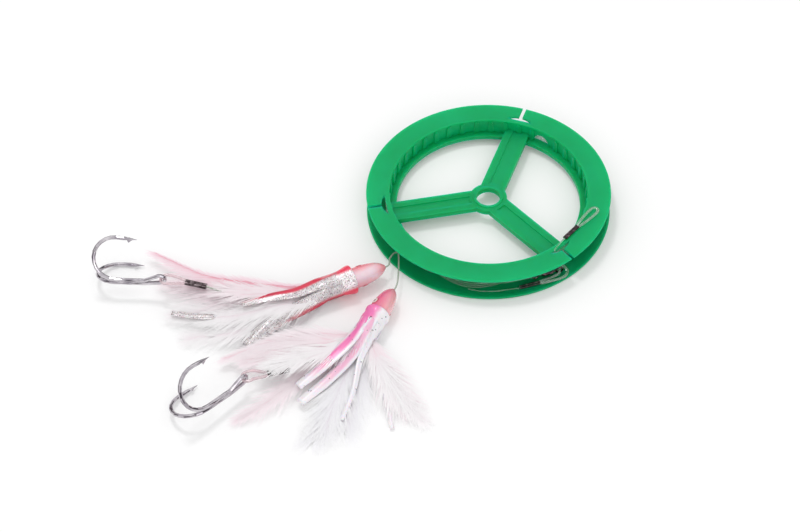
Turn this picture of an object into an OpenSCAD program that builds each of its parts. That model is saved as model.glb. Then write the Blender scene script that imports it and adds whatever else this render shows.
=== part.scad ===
// Ring spool for a ready-made fishing rig: a moulded ring winder, the line wound on it,
// an end loop and a barrel swivel on its rim, and two feathered double-hook lures.
// Millimetres, +Z up. The origin is on the spool's axis, on the face that it lies on.

/* [Spool rim] */
// Outside diameter of both flanges
flange_d = 150; // [148:0.5:154]
// How far both flanges stand in past the inside of the drum wall
flange_lip = 0.4; // [0.2:0.1:1]
// Height over both flanges
spool_h = 16.5; // [16.4:0.1:19]
// Thickness of each flange
flange_t = 1.5; // [1.2:0.1:1.6]
// Outside diameter of the drum that the line lies on
drum_d = 125; // [124.6:0.1:126]
// Thickness of the drum wall
drum_t = 1.5; // [1.2:0.1:1.7]
// Radius of the fillet between drum and flange
groove_fillet = 0.4; // [0.2:0.1:0.5]

/* [Ledge and ribs] */
// Width of the ledge inside the drum
ledge_w = 4.5; // [3:0.5:6]
// Height of the ledge's underside
ledge_z = 3.6; // [3:0.1:4]
// Thickness of the ledge
ledge_t = 3; // [2.4:0.1:3.2]
// Number of stiffening ribs round the inside of the drum
rib_count = 42; // [36:3:45]
// Width of a rib at the ledge
rib_w = 3.4; // [2.8:0.1:3.8]
// Width of a rib just under its round top
rib_top_w = 2.5; // [2:0.1:2.7]
// How far a rib stands out of the drum wall
rib_proud = 1.1; // [0.6:0.1:1.5]
// Distance from the top of a rib to the top of the spool
rib_top_gap = 1.3; // [1:0.1:3]

/* [Spokes and hub] */
// Number of spokes
spoke_count = 3; // [3:1:4]
// Direction of the first spoke in degrees
spoke_angle = -51; // [-60:1:-40]
// Width of a spoke
spoke_w = 15; // [12:0.5:17]
// Thickness of a spoke over its side rims
spoke_t = 3.6; // [3:0.1:4.4]
// Height of the top of the spokes
spoke_top_z = 9.6; // [9:0.1:10]
// Width of the raised rim along each side of a spoke
spoke_rim_w = 4.5; // [3:0.1:5.5]
// Depth of the shallow channel along a spoke, on each face
spoke_channel = 0.6; // [0.3:0.1:1]
// Outside diameter of the hub
hub_d = 23; // [20:0.5:26]
// Diameter of the bore through the hub
bore_d = 14.8; // [12:0.1:16]
// Diameter of the raised ring round the bore
bore_ring_d = 18; // [17.5:0.5:19.5]
// Height of the raised ring above the spokes
bore_ring_h = 0.5; // [0.2:0.1:1]

/* [Line slots] */
// Width of the slit that runs in from the rim at each spoke
slit_w = 2.3; // [1.5:0.1:3]
// Length of the cross slot at the slit's inner end
cross_w = 16; // [14:0.5:18]
// Depth of the cross slot's round side
cross_rise = 3; // [2.4:0.1:3.5]
// Gap from the drum to the flat side of the cross slot
cross_gap = 0.9; // [0.6:0.1:1.2]
// Direction of the line window in degrees
window_angle = 53.8; // [50:0.1:56]
// Radius of the round-topped line window in the drum
window_r = 5.2; // [4:0.1:5.6]
// Direction of the finger cut-out in the lower flange in degrees
cutout_angle = 56.5; // [50:0.1:60]
// Radius of the finger cut-out in the lower flange
cutout_r = 5.7; // [4:0.1:6.2]

/* [Line] */
// Diameter of the wound line
line_d = 0.8; // [0.6:0.05:0.8]
// Number of turns wound on the drum
turn_count = 9; // [5:1:9]
// How far the loose lower turns stand off the drum
loose_bulge = 5; // [3:0.1:5.2]
// Diameter of the two leaders
leader_d = 1; // [0.8:0.05:1.1]
// Gap between line parts and what they rest on
lay_gap = 0.1; // [0.05:0.01:0.15]

/* [Crimp sleeves and loops] */
// Outside diameter of one barrel of a small sleeve
small_sleeve_d = 1.4; // [1.2:0.05:1.5]
// Length of a small sleeve
small_sleeve_len = 12.6; // [10:0.1:13]
// Outside diameter of one barrel of a lure sleeve
lure_sleeve_d = 2; // [1.6:0.05:2.2]
// Length of a lure sleeve
lure_sleeve_len = 13; // [11:0.1:14]
// Diameter of the clear tube on the small loops
small_tube_d = 1.6; // [1.2:0.05:1.65]
// Diameter of the clear tube on the hook loops
hook_tube_d = 1.8; // [1.4:0.05:1.9]
// Half width of a hook loop at its tip
hook_loop_r = 3.4; // [3.2:0.05:3.8]
// Length of the end loop
end_loop_len = 19; // [14:0.5:22]
// Half width of the end loop at its tip
end_loop_r = 2.3; // [1.8:0.1:3]

/* [Swivel] */
// Length of the swivel barrel
barrel_len = 7.2; // [6.6:0.1:7.6]
// Diameter of the swivel barrel
barrel_d = 3.2; // [3:0.1:3.3]
// Wall of the swivel barrel
barrel_wall = 0.4; // [0.3:0.05:0.5]
// Wire diameter of the swivel eyes
eye_wire_d = 1; // [0.8:0.05:1.1]
// Radius of a swivel eye to the middle of its wire
eye_r = 2; // [1.9:0.05:2.1]
// Diameter of the stem of a swivel eye
stem_d = 1.1; // [0.9:0.05:1.2]
// Running clearance round the stem and its head, on the radius
swivel_clear = 0.05; // [0.03:0.01:0.08]

/* [Double hooks] */
// Wire diameter of the double hooks
hook_wire_d = 2.4; // [2:0.1:2.4]
// Distance from the pivot in the eye to the start of the bend
shank_len = 27.3; // [24:0.1:30]
// Radius of the bend
bend_r = 12.9; // [11:0.1:12.9]
// Length of the straight point leg
point_len = 12.3; // [10:0.1:14]
// How far the point leans in towards the shank
point_lean = 1; // [0.5:0.1:2]
// Angle between the two bends in degrees
bend_spread = 80; // [70:1:80]
// Radius of the eye to the middle of its wire
hook_eye_r = 2.9; // [2.8:0.05:3.2]
// Length of the barb
barb_len = 3.2; // [2:0.1:4]

/* [Lure heads] */
// Length of a head from its nose to its rear shoulder
head_len = 21.5; // [20:0.1:22.5]
// Diameter of a head
head_d = 12.7; // [11.5:0.1:12.9]
// Length of the rounded nose part
nose_len = 17; // [14:0.1:19]
// Diameter of the hole for the leader
head_bore_d = 1.6; // [1.4:0.1:2]
// Diameter of the neck that carries skirt and feathers
neck_d = 7.2; // [6:0.1:7.4]
// Length of the neck
neck_len = 10.5; // [10:0.1:11]
// Diameter of a lure eye
lure_eye_d = 4.6; // [3.6:0.1:5]
// Distance of the lure eyes behind the nose
lure_eye_x = 15.5; // [14:0.1:16.5]

/* [Skirts and feathers] */
// Outside diameter of the skirt's rolled rim
rim_d = 16.8; // [16:0.1:17]
// Outside diameter of the skirt at its open end
skirt_d = 14.7; // [14:0.1:15.2]
// Wall of the skirt
skirt_wall = 1; // [0.8:0.1:1.2]
// Length of the skirt collar
collar_len = 18; // [16:0.5:19]
// Thickness of a cut skirt strip
strip_t = 1; // [0.7:0.1:1.1]
// Thickness of a feather
feather_t = 1.1; // [0.8:0.1:1.2]
// Length of the thread wrapping behind the skirt's seat
wrap_len = 4; // [3:0.1:4.5]

/* [Hidden] */

$fn = 48;
cut = 0.1; // how far a cut runs past the face that it opens
flange_r = flange_d / 2;
drum_r = drum_d / 2;
drum_in_r = drum_r - drum_t;
flange_in_r = drum_in_r - flange_lip;
groove_top = spool_h - flange_t;
ledge_top = ledge_z + ledge_t;

// ---- shapes that several pieces share ----

function unit(v) = v / norm(v);

// Points of an arc round c, from angle a0 to a1, in n steps
function arc(c, r, a0, a1, n = 6) = [
  for (i = [0:n]) let (a = a0 + (a1 - a0) * i / n) c + r * [cos(a), sin(a)]
];

// A smooth curve through the points p, with k steps between each two
function through(p, k) = let (n = len(p)) concat(
  [
    for (i = [0:n - 2]) for (j = [0:k - 1]) let (
      t = j / k,
      a = p[max(i - 1, 0)], b = p[i], c = p[i + 1], d = p[min(i + 2, n - 1)],
      m0 = (c - a) / (i == 0 ? 1 : 2),
      m1 = (d - b) / (i == n - 2 ? 1 : 2)
    ) (2 * t^3 - 3 * t^2 + 1) * b + (t^3 - 2 * t^2 + t) * m0 + (3 * t^2 - 2 * t^3) * c + (t^3 - t^2) * m1
  ],
  [p[n - 1]]
);

// A value that follows the list v along a path cut into n steps
function along(v, i, n) = let (x = i / n * (len(v) - 1), j = min(floor(x), len(v) - 2))
  v[j] + (v[j + 1] - v[j]) * (x - j);

// A closed solid swept along the points p; sections[i] holds [across, up] points
module sweep(p, sections) {
  n = len(p);
  m = len(sections[0]);
  points = [
    for (i = [0:n - 1]) let (
      ahead = unit(p[min(i + 1, n - 1)] - p[max(i - 1, 0)]),
      across = unit(cross(ahead, [0, 0, 1])),
      up = cross(across, ahead)
    ) for (q = sections[i]) p[i] + q[0] * across + q[1] * up
  ];
  sides = [
    for (i = [0:n - 2]) for (k = [0:m - 1]) let (a = i * m + k, b = i * m + (k + 1) % m)
      each [[a, a + m, b], [b, a + m, b + m]]
  ];
  polyhedron(points, concat(sides, [[for (k = [0:m - 1]) k], [for (k = [m - 1:-1:0]) (n - 1) * m + k]]));
}

// A round tube of diameter d along the points p
module tube(p, d, sides = 8) {
  ring = [for (k = [0:sides - 1]) let (a = 360 * k / sides) d / 2 * [cos(a), sin(a)]];
  sweep(p, [for (q = p) ring]);
}

// A flat piece along the points p with half widths w, thickness t and roll angles in degrees
module blade(p, w, t, roll = [0, 0], flat_edge = false) {
  n = len(p) - 1;
  sweep(p, [
    for (i = [0:n]) let (
      h = along(w, i, n), a = along(roll, i, n),
      e = flat_edge ? 1 : 0.45,
      outline = flat_edge
        ? [[-h, t / 2], [-h, -t / 2], [h, -t / 2], [h, t / 2]]
        : [[-h, 0], [-h * e, -t / 2], [h * e, -t / 2], [h, 0], [h * e, t / 2], [-h * e, t / 2]]
    ) [for (q = outline) [q[0] * cos(a) - q[1] * sin(a), q[0] * sin(a) + q[1] * cos(a)]]
  ]);
}

// A round rod from point a to point b
module rod(a, b, d1, d2) {
  v = b - a;
  translate(a) rotate([0, acos(v[2] / norm(v)), atan2(v[1], v[0])]) cylinder(h = norm(v), d1 = d1, d2 = d2);
}

// ---- spool ----

edge_r = flange_t / 2;
rim_section = concat(
  arc([flange_r - edge_r, edge_r], edge_r, -90, 90, 8),
  arc([drum_r + groove_fillet, flange_t + groove_fillet], groove_fillet, 270, 180, 4),
  arc([drum_r + groove_fillet, groove_top - groove_fillet], groove_fillet, 180, 90, 4),
  arc([flange_r - edge_r, spool_h - edge_r], edge_r, -90, 90, 8),
  arc([flange_in_r + groove_fillet, spool_h - groove_fillet], groove_fillet, 90, 180, 4),
  [
    [flange_in_r, groove_top], [drum_in_r, groove_top - groove_fillet], [drum_in_r, ledge_top],
    [drum_in_r - ledge_w, ledge_top], [drum_in_r - ledge_w, ledge_z], [drum_in_r, ledge_z],
    [drum_in_r, flange_t + groove_fillet], [flange_in_r, flange_t],
  ],
  arc([flange_in_r + groove_fillet, groove_fillet], groove_fillet, 180, 270, 4)
);

rib_step = 360 / rib_count;
rib_phase = spoke_angle - 0.7;
rib_top = spool_h - rib_top_gap;

// One rib: a tapered tongue with a round top, rooted in the drum wall
module rib() {
  straight = rib_top - rib_top_w / 2;
  outline = concat(
    [[-rib_w / 2, ledge_top - cut], [rib_w / 2, ledge_top - cut]],
    arc([0, straight], rib_top_w / 2, 0, 180, 8)
  );
  translate([drum_in_r - rib_proud, 0, 0]) rotate([90, 0, 90])
    linear_extrude(rib_proud + drum_t / 2) polygon(outline);
}

// One spoke: a flat bar with a shallow channel along both faces
module spoke() {
  half = spoke_w / 2;
  inner = half - spoke_rim_w;
  z0 = spoke_top_z - spoke_t;
  outline = [
    [-half, z0], [-inner, z0], [-inner, z0 + spoke_channel], [inner, z0 + spoke_channel], [inner, z0],
    [half, z0], [half, spoke_top_z], [inner, spoke_top_z], [inner, spoke_top_z - spoke_channel],
    [-inner, spoke_top_z - spoke_channel], [-inner, spoke_top_z], [-half, spoke_top_z],
  ];
  start = bore_ring_d / 2;
  translate([start, 0, 0]) rotate([90, 0, 90])
    linear_extrude(drum_in_r + drum_t / 2 - start) polygon(outline);
}

window_cut = 1.5; // how far the window's cut runs past both faces of the drum
cutout_gap = 2.6; // from the drum to the flat side of the finger cut-out
cross_r = ((cross_w / 2)^2 + cross_rise^2) / (2 * cross_rise);
cross_x = drum_r + cross_gap;

// Slit and D-shaped cross slot through the upper flange
module line_slot() {
  translate([0, 0, groove_top - cut]) {
    translate([cross_x + cut, -slit_w / 2, 0]) cube([flange_r - cross_x, slit_w, flange_t + 2 * cut]);
    intersection() {
      translate([cross_x + cross_rise - cross_r, 0, 0]) cylinder(h = flange_t + 2 * cut, r = cross_r);
      translate([cross_x, -cross_w, 0]) cube([cross_r, 2 * cross_w, flange_t + 2 * cut]);
    }
  }
}

module spool_body() {
  color([0, 0.64, 0.39, 0.92]) difference() {
    union() {
      rotate_extrude($fn = 180) polygon(rim_section);
      for (i = [0:rib_count - 1]) let (a = rib_phase + i * rib_step)
        if (abs((a - window_angle + 540) % 360 - 180) > 5) rotate(a) rib();
      for (i = [0:spoke_count - 1]) rotate(spoke_angle + i * 360 / spoke_count) spoke();
      translate([0, 0, spoke_top_z - spoke_t]) cylinder(h = spoke_t, d = hub_d, $fn = 96);
      translate([0, 0, spoke_top_z - spoke_t]) cylinder(h = spoke_t + bore_ring_h, d = bore_ring_d, $fn = 96);
    }
    translate([0, 0, -cut]) cylinder(h = spool_h, d = bore_d, $fn = 96);
    for (i = [0:spoke_count - 1]) rotate(spoke_angle + i * 360 / spoke_count) line_slot();
    rotate(window_angle) intersection() {
      translate([drum_in_r - window_cut, 0, ledge_top]) rotate([0, 90, 0])
        cylinder(h = drum_t + 2 * window_cut, r = window_r);
      translate([0, -window_r, ledge_top]) cube([drum_r + 2 * window_cut, 2 * window_r, window_r]);
    }
    rotate(cutout_angle) translate([drum_r + cutout_gap, 0, -cut]) intersection() {
      cylinder(h = flange_t + 2 * cut, r = cutout_r);
      translate([0, -cutout_r, 0]) cube([cutout_r, 2 * cutout_r, flange_t + 2 * cut]);
    }
  }
}

// ---- wound line ----

turns = turn_count + 1 / 6;
wind_start = -120; // direction of the winding's lower end
wind_rings = 24; // rings in one turn
wind_slack = 0.15; // from the drum to the line
wind_r = (drum_r + line_d / 2 + wind_slack) / cos(180 / wind_rings);
wind_clear = 0.25; // from the lower flange to the first turn
wind_top_clear = 0.55; // from the last turn to the upper flange
wind_z = flange_t + line_d / 2 + wind_clear;
turn_pitch = (groove_top - flange_t - line_d - wind_clear - wind_top_clear) / turns;
loose_turns = 4;

// Share of the bulge at direction a: the loose turns stand off from 232 to 282 degrees
function loose(a) = let (x = (a + 128 + 720) % 360) x < 50 ? sin(180 * x / 50)^2 : 0;

// Point of the winding after i rings
function wind_point(i) = let (
  a = wind_start + 360 * i / wind_rings,
  turn = i / wind_rings,
  r = wind_r + (turn < loose_turns ? loose_bulge * loose(a) * (1 - 0.08 * floor(turn)) : 0)
) [r * cos(a), r * sin(a), wind_z + turn_pitch * turn];

wind_points = [for (i = [0:turns * wind_rings]) wind_point(i)];
wind_gap = min([
  for (i = [0:len(wind_points) - 1 - wind_rings + 2]) for (k = [wind_rings - 2:wind_rings + 2])
    if (i + k < len(wind_points)) norm(wind_points[i] - wind_points[i + k])
]) - line_d;
echo(least_gap_in_winding = wind_gap);

module wound_line() {
  color([0.78, 0.86, 0.8, 0.6]) tube(wind_points, line_d, 6);
}

// ---- double-barrel crimp sleeve ----

// A sleeve of two barrels side by side along X, pressed in at four places
module crimp_sleeve(barrel, length) {
  pinch = barrel * 0.12;
  difference() {
    union() {
      for (y = [-1, 1]) translate([0, y * barrel / 2, 0]) rotate([0, 90, 0]) cylinder(h = length, d = barrel);
      translate([0, -barrel / 2, -barrel * 0.3]) cube([length, barrel, barrel * 0.6]);
    }
    for (i = [1:4]) for (z = [-1, 1]) translate([length * i / 5, -2 * barrel, z * (barrel / 2 + pinch)])
      rotate([-90, 0, 0]) cylinder(h = 4 * barrel, r = 2 * pinch);
  }
}

// ---- line loops ----

// Points of a loop: two strands from the sleeve at p0, heading h0, round a tip at p1, heading h1
function loop_points(p0, h0, p1, h1, half0, tip_r) = let (
  up = [0, 0, 1],
  centre = p1 - tip_r * h1,
  span = norm(centre - p0),
  mid = [
    for (i = [0:6]) let (t = i / 6)
      (2 * t^3 - 3 * t^2 + 1) * p0 + (t^3 - 2 * t^2 + t) * span * h0
      + (3 * t^2 - 2 * t^3) * centre + (t^3 - t^2) * span * h1
  ],
  across = [for (i = [0:6]) unit(cross(i == 6 ? h1 : i == 0 ? h0 : mid[i + 1] - mid[i - 1], up))],
  half = [for (i = [0:6]) let (t = i / 6) half0 + (tip_r - half0) * sin(90 * t)]
) concat(
  [for (i = [0:6]) mid[i] - half[i] * across[i]],
  [for (k = [1:7]) let (a = 180 * k / 8) centre - tip_r * cos(a) * across[6] + tip_r * sin(a) * h1],
  [for (i = [6:-1:0]) mid[i] + half[i] * across[i]]
);

function heading(az, rise = 0) = [cos(rise) * cos(az), cos(rise) * sin(az), sin(rise)];

// ---- end loop on the upper flange ----

end_z = spool_h + small_tube_d / 2 + lay_gap;
end_az = 48;
end_sleeve_at = [43.4, -43.2, end_z];
end_sleeve_end = end_sleeve_at + small_sleeve_len * heading(end_az);
wind_end = wind_points[len(wind_points) - 1];
end_route = [
  wind_end, [34.8, -54.1, 14.2], [36.4, -53.1, 15.5], [37, -51.9, 17], [38.4, -49.4, end_z],
  end_sleeve_at + [0, -small_sleeve_d / 2 * 0, 0],
];

module end_line() {
  color([0.8, 0.88, 0.83, 0.6]) tube(through(end_route, 3), line_d);
}

module end_sleeve() {
  color([0.33, 0.28, 0.29]) translate(end_sleeve_at) rotate(end_az) crimp_sleeve(small_sleeve_d, small_sleeve_len);
}

module end_loop() {
  tip = end_sleeve_end + end_loop_len * heading(end_az);
  color([0.9, 0.95, 0.93, 0.5])
    tube(loop_points(end_sleeve_end, heading(end_az), tip, heading(end_az), small_tube_d / 2 + lay_gap / 2,
      end_loop_r), small_tube_d);
}

// ---- barrel swivel in the groove ----

swivel_az = 15.9;
swivel_eye_x = barrel_len / 2 + eye_r + 2.06; // from the barrel's middle to an eye's middle
swivel_z = flange_t + eye_r + eye_wire_d / 2 + lay_gap;
swivel_at = [(drum_r + 4.5) * cos(-61.1), (drum_r + 4.5) * sin(-61.1), swivel_z];
small_sleeve_y = -(eye_r + eye_wire_d / 2 + small_sleeve_d + 0.4);
small_sleeve_z = flange_t + small_tube_d / 2 + lay_gap - swivel_z;
small_sleeve_x = -6.34;
stem_head_d = barrel_d - 2 * barrel_wall - 2 * swivel_clear;
stem_head_t = 0.8;
end_wall = 0.8; // closed end of the barrel

module at_swivel() {
  translate(swivel_at) rotate(swivel_az) children();
}

// Barrel with closed-in ends, hollow for the heads of the two stems
module swivel_barrel() {
  half = barrel_len / 2;
  outside = [[-half, 0.95], [-half + 0.5, 1.35], [-half + 1.2, barrel_d / 2], [half - 1.2, barrel_d / 2],
    [half - 0.5, 1.35], [half, 0.95]];
  bore = stem_d / 2 + swivel_clear;
  cavity = barrel_d / 2 - barrel_wall;
  inside = [[half, bore], [half - end_wall, bore], [half - end_wall, cavity], [-half + end_wall, cavity],
    [-half + end_wall, bore], [-half, bore]];
  color([0.45, 0.36, 0.36]) at_swivel() rotate([0, 90, 0]) rotate_extrude()
    polygon([for (q = concat(outside, inside)) [q[1], q[0]]]);
}

// One swivel eye: a wire ring on a headed stem, pointing along +X
module swivel_eye() {
  inner_end = barrel_len / 2 - end_wall - swivel_clear - stem_head_t;
  color([0.2, 0.19, 0.2]) {
    translate([swivel_eye_x, 0, 0]) rotate([90, 0, 0]) rotate_extrude() translate([eye_r, 0]) circle(d = eye_wire_d, $fn = 24);
    translate([inner_end, 0, 0]) rotate([0, 90, 0]) cylinder(h = swivel_eye_x - eye_r - inner_end, d = stem_d);
    translate([inner_end, 0, 0]) rotate([0, 90, 0]) cylinder(h = stem_head_t, d = stem_head_d);
  }
}

module swivel_eye_front() {
  at_swivel() swivel_eye();
}

module swivel_eye_rear() {
  at_swivel() rotate(180) swivel_eye();
}

knot_from = swivel_eye_x + eye_r + eye_wire_d / 2 + 0.5;
knot_len = 3;
knot_turns = 4;

// Line looped through the rear eye and wrapped back on itself
module swivel_knot() {
  bow = eye_wire_d / 2 + line_d / 2 + 0.15;
  bow_x = swivel_eye_x + eye_r;
  color([0.75, 0.82, 0.78, 0.7]) at_swivel() rotate(180) {
    translate([bow_x, 0, 0]) rotate(90) rotate_extrude(angle = 180) translate([bow, 0]) circle(d = line_d, $fn = 16);
    for (y = [-1, 1]) rod([bow_x, y * bow, 0], [knot_from + line_d / 2, y * line_d / 2, 0], line_d, line_d, $fn = 16);
    for (i = [0:knot_turns - 1]) translate([knot_from + (i + 0.5) * knot_len / knot_turns, 0, 0]) rotate([0, 90, 0])
      rotate_extrude() translate([line_d * 0.75, 0]) circle(d = line_d, $fn = 16);
    translate([knot_from, 0, 0]) rotate([0, 90, 0]) cylinder(h = knot_len, d = 1.8 * line_d);
  }
}

// From the swivel's own axes to the spool's
function from_swivel(q) = swivel_at
  + [q[0] * cos(swivel_az) - q[1] * sin(swivel_az), q[0] * sin(swivel_az) + q[1] * cos(swivel_az), q[2]];

tail_route = [
  from_swivel([-knot_from - knot_len - 0.15, 0, 0]), [16.5, -63.3, 4.1], [12, -64.4, 4], [6, -65.4, 3.8],
];

module swivel_tail() {
  color([0.8, 0.88, 0.83, 0.6]) tube(through(tail_route, 3), line_d);
}

module swivel_sleeve() {
  color([0.33, 0.28, 0.29]) at_swivel() translate([small_sleeve_x - small_sleeve_len, small_sleeve_y, small_sleeve_z])
    crimp_sleeve(small_sleeve_d, small_sleeve_len);
}

swivel_loop_route = [
  for (q = [
    [small_sleeve_x, small_sleeve_y - 0.85, small_sleeve_z], [-1, -5.5, -1.5], [5.5, -5.6, -1.1],
    [9.8, -4.7, -0.8], [12, -1.9, -0.5], [11.6, 1.3, -0.2], [9.5, 2.5, 0], [8, 1.5, 0], [7.6, 0, 0],
    [6.9, -1.8, -0.2], [4, -2.95, -0.8], [-1, -3.3, -1.4], [small_sleeve_x, small_sleeve_y + 0.85, small_sleeve_z],
  ]) from_swivel(q)
];

module swivel_loop() {
  color([0.9, 0.95, 0.93, 0.5]) tube(through(swivel_loop_route, 3), small_tube_d);
}

swivel_line_route = [
  from_swivel([small_sleeve_x - small_sleeve_len, small_sleeve_y, small_sleeve_z]), [8, -69.6, 2.5],
  [0, -70.6, 2.6], [-8, -70.2, 2.7], [-15.6, -68.4, 2.8],
];

module swivel_line() {
  color([0.8, 0.88, 0.83, 0.6]) tube(through(swivel_line_route, 4), line_d);
}

// ---- lures ----

nose_a = [-64.7, -53.8, 8.6];
nose_b = [-59.9, -72.3, 8.6];
az_a = 204.4;
az_b = 242;
eye_roll_a = -41;
eye_roll_b = -50;
neck_end = head_len + neck_len;
collar_from = head_len - 1.7;
collar_to = collar_from + collar_len;

module at_lure(nose, az) {
  translate(nose) rotate(az) children();
}

// Point on a lure, x behind its nose, r off its axis at angle a from its left side
function on_lure(nose, az, x, r = 0, a = 0) = nose + x * heading(az)
  + r * (cos(a) * heading(az + 90) + sin(a) * [0, 0, 1]);

// Bullet head with its neck, drilled for the leader and sunk for two eyes
module lure_head(nose, az, roll, shade) {
  steps = 12;
  outline = concat(
    [[head_bore_d / 2, 0], [head_bore_d / 2 + 0.5, 0]],
    [
      for (i = [0:steps]) let (x = nose_len * (0.02 + 0.98 * i / steps))
        [max(head_bore_d / 2 + 0.8, head_d / 2 * sqrt(1 - (1 - x / nose_len)^2)), x]
    ],
    [
      [head_d / 2, head_len], [neck_d / 2, head_len], [neck_d / 2, neck_end - 0.6],
      [neck_d / 2 - 0.5, neck_end], [head_bore_d / 2, neck_end],
    ]
  );
  color(shade) at_lure(nose, az) difference() {
    rotate([0, 90, 0]) rotate_extrude() polygon(outline);
    for (side = [0, 180]) rotate([roll + side, 0, 0]) translate([lure_eye_x, head_d / 2 - 1, 0])
      rotate([-90, 0, 0]) cylinder(h = 3, d = lure_eye_d + 0.1);
  }
}

// A pair of stuck-on lure eyes with domed fronts
module lure_eyes(nose, az, roll) {
  dome_r = lure_eye_d;
  dome = sqrt(dome_r^2 - (lure_eye_d / 2)^2);
  color([0.9, 0.75, 0.72]) at_lure(nose, az) for (side = [0, 180]) rotate([roll + side, 0, 0])
    translate([lure_eye_x, head_d / 2 - 0.95, 0]) rotate([-90, 0, 0]) intersection() {
      cylinder(h = 2, d = lure_eye_d);
      translate([0, 0, 0.8 - dome]) sphere(r = dome_r);
    }
}

skirt_in_r = skirt_d / 2 - skirt_wall;

// Moulded collar of a skirt: a rolled rim round the head, a seat on the neck, then an open tube
module skirt_collar(nose, az) {
  seat_from = head_len + 0.15;
  seat_to = head_len + 4;
  outline = [
    [head_d / 2 + 0.1, collar_from + 0.6], [head_d / 2 + 0.5, collar_from], [rim_d / 2 - 0.4, collar_from],
    [rim_d / 2, collar_from + 0.5], [rim_d / 2, collar_from + 2], [rim_d / 2 - 0.4, collar_from + 4],
    [skirt_d / 2 + 0.3, collar_from + 9], [skirt_d / 2, collar_from + 13], [skirt_d / 2, collar_to],
    [skirt_in_r, collar_to], [skirt_in_r, seat_to], [neck_d / 2 + 0.1, seat_to], [neck_d / 2 + 0.1, seat_from],
    [head_d / 2 + 0.1, seat_from],
  ];
  at_lure(nose, az) rotate([0, 90, 0]) rotate_extrude() polygon(outline);
}

// A strip of the skirt: from the collar's end at angle a, then through the points p
module strip(nose, az, a, p, w) {
  mid_r = skirt_d / 2 - skirt_wall / 2;
  root = [for (x = [collar_to + 0.5, collar_to + 4]) on_lure(nose, az, x, mid_r, a)];
  turn = a > 180 ? 270 - a : 90 - a;
  blade(through(concat(root, p), 3), w, strip_t, [turn, turn, turn * 0.4, 0, 0], true);
}

module skirt_a() {
  color([0.93, 0.62, 0.66]) skirt_collar(nose_a, az_a);
}

module skirt_b() {
  color([0.97, 0.86, 0.9]) skirt_collar(nose_b, az_b);
}

module skirt_strips_a() {
  color([0.93, 0.62, 0.66]) {
    strip(nose_a, az_a, 100, [[-117, -75, 12.7], [-133, -77.5, 11.8], [-149, -81.5, 11]], [4.4, 4, 3, 2]);
    strip(nose_a, az_a, 20, [[-121, -86, 6.6], [-137, -97, 4.6], [-147, -106, 3.6]], [3.4, 4.4, 4.4, 4.4]);
    strip(nose_a, az_a, 265, [[-118, -72, 1.3], [-145, -79, 0.9], [-167, -81.5, 0.9], [-191, -78, 0.9]],
      [3.6, 3, 2.4, 1.6]);
  }
}

module skirt_strips_b() {
  color([0.97, 0.86, 0.9]) {
    strip(nose_b, az_b, 115, [[-88, -114.5, 12.4], [-103, -129.5, 9.6], [-116, -141, 7.2]], [2.8, 3, 3, 2.6]);
    strip(nose_b, az_b, 62, [[-83.5, -119.5, 8.5], [-98, -137.5, 6], [-113.5, -152.5, 4.6]], [2.6, 2.6, 2.6, 2.4]);
    strip(nose_b, az_b, 24, [[-80, -123, 7], [-84.5, -144, 4.4], [-91.5, -163, 3]], [2.2, 2.2, 2, 1.4]);
    strip(nose_b, az_b, 328, [[-69, -124, 3.6], [-66, -148, 3], [-63, -169, 1.4]], [1.5, 2, 1.8, 1.2]);
    strip(nose_b, az_b, 285, [[-71, -115.5, 1.2], [-69.5, -123.5, 0.8]], [2.2, 2, 1]);
  }
}

// Thread that ties the feathers to the neck
module thread_wrap(nose, az) {
  ridge = wrap_len / 8;
  color([0.85, 0.3, 0.4]) at_lure(nose, az) rotate([0, 90, 0]) rotate_extrude() polygon(concat(
    [for (i = [0:8]) [neck_d / 2 + 0.9 + 0.15 * (i % 2), neck_end - wrap_len - 0.5 + ridge * i]],
    [[neck_d / 2 + 0.1, neck_end - 0.5], [neck_d / 2 + 0.1, neck_end - wrap_len - 0.5]]
  ));
}

root_x = neck_end + 0.3;

// A feather: rooted behind the neck at [across, up], then through the points p
module feather(nose, az, root, p, w, shade) {
  start = [
    for (x = [root_x, root_x + 5])
      on_lure(nose, az, x) + root[0] * heading(az + 90) + [0, 0, root[1]]
  ];
  color(shade) blade(through(concat(start, p), 3), w, feather_t);
}

pale = [0.97, 0.9, 0.93];
white = [0.95, 0.95, 0.96];

module feather_a_1() {
  feather(nose_a, az_a, [0, 4.2], [[-117, -69, 10.4], [-142, -64, 9.6], [-172, -56, 9], [-203, -35, 6.5]],
    [1.8, 2.4, 4.5, 7, 6.5, 1], pale);
}

module feather_a_2() {
  feather(nose_a, az_a, [-1.6, 1.5], [[-117, -71.5, 7], [-145, -71, 6.2], [-172, -66, 5.6], [-197, -57, 4.6]],
    [1.6, 2.2, 3.6, 4.6, 3.8, 1], pale);
}

module feather_a_3() {
  feather(nose_a, az_a, [1.6, -1.5], [[-117, -77, 4.4], [-140, -79, 4], [-166, -80, 3.8], [-190, -82, 3.2]],
    [1.6, 2.4, 4.4, 5.6, 4.6, 1], white);
}

module feather_a_4() {
  feather(nose_a, az_a, [-2.2, -3.6], [[-117, -80.5, 2.8], [-138, -88, 2.4], [-159, -95, 2.2], [-180, -99, 1.8]],
    [1.4, 2, 4, 6, 5, 1], white);
}

module feather_a_5() {
  feather(nose_a, az_a, [2.2, -3.8], [[-111.5, -82.5, 0.9], [-129, -93, 0.8], [-149, -110, 0.8]],
    [1.3, 2, 4, 5, 1], white);
}

module feather_b_1() {
  feather(nose_b, az_b, [-0.5, 4.2], [[-85, -107, 10.6], [-103, -105, 9.4], [-127, -107, 8.4], [-158, -117, 5.5]],
    [1.8, 2.4, 4.4, 6.4, 6, 1], pale);
}

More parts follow.
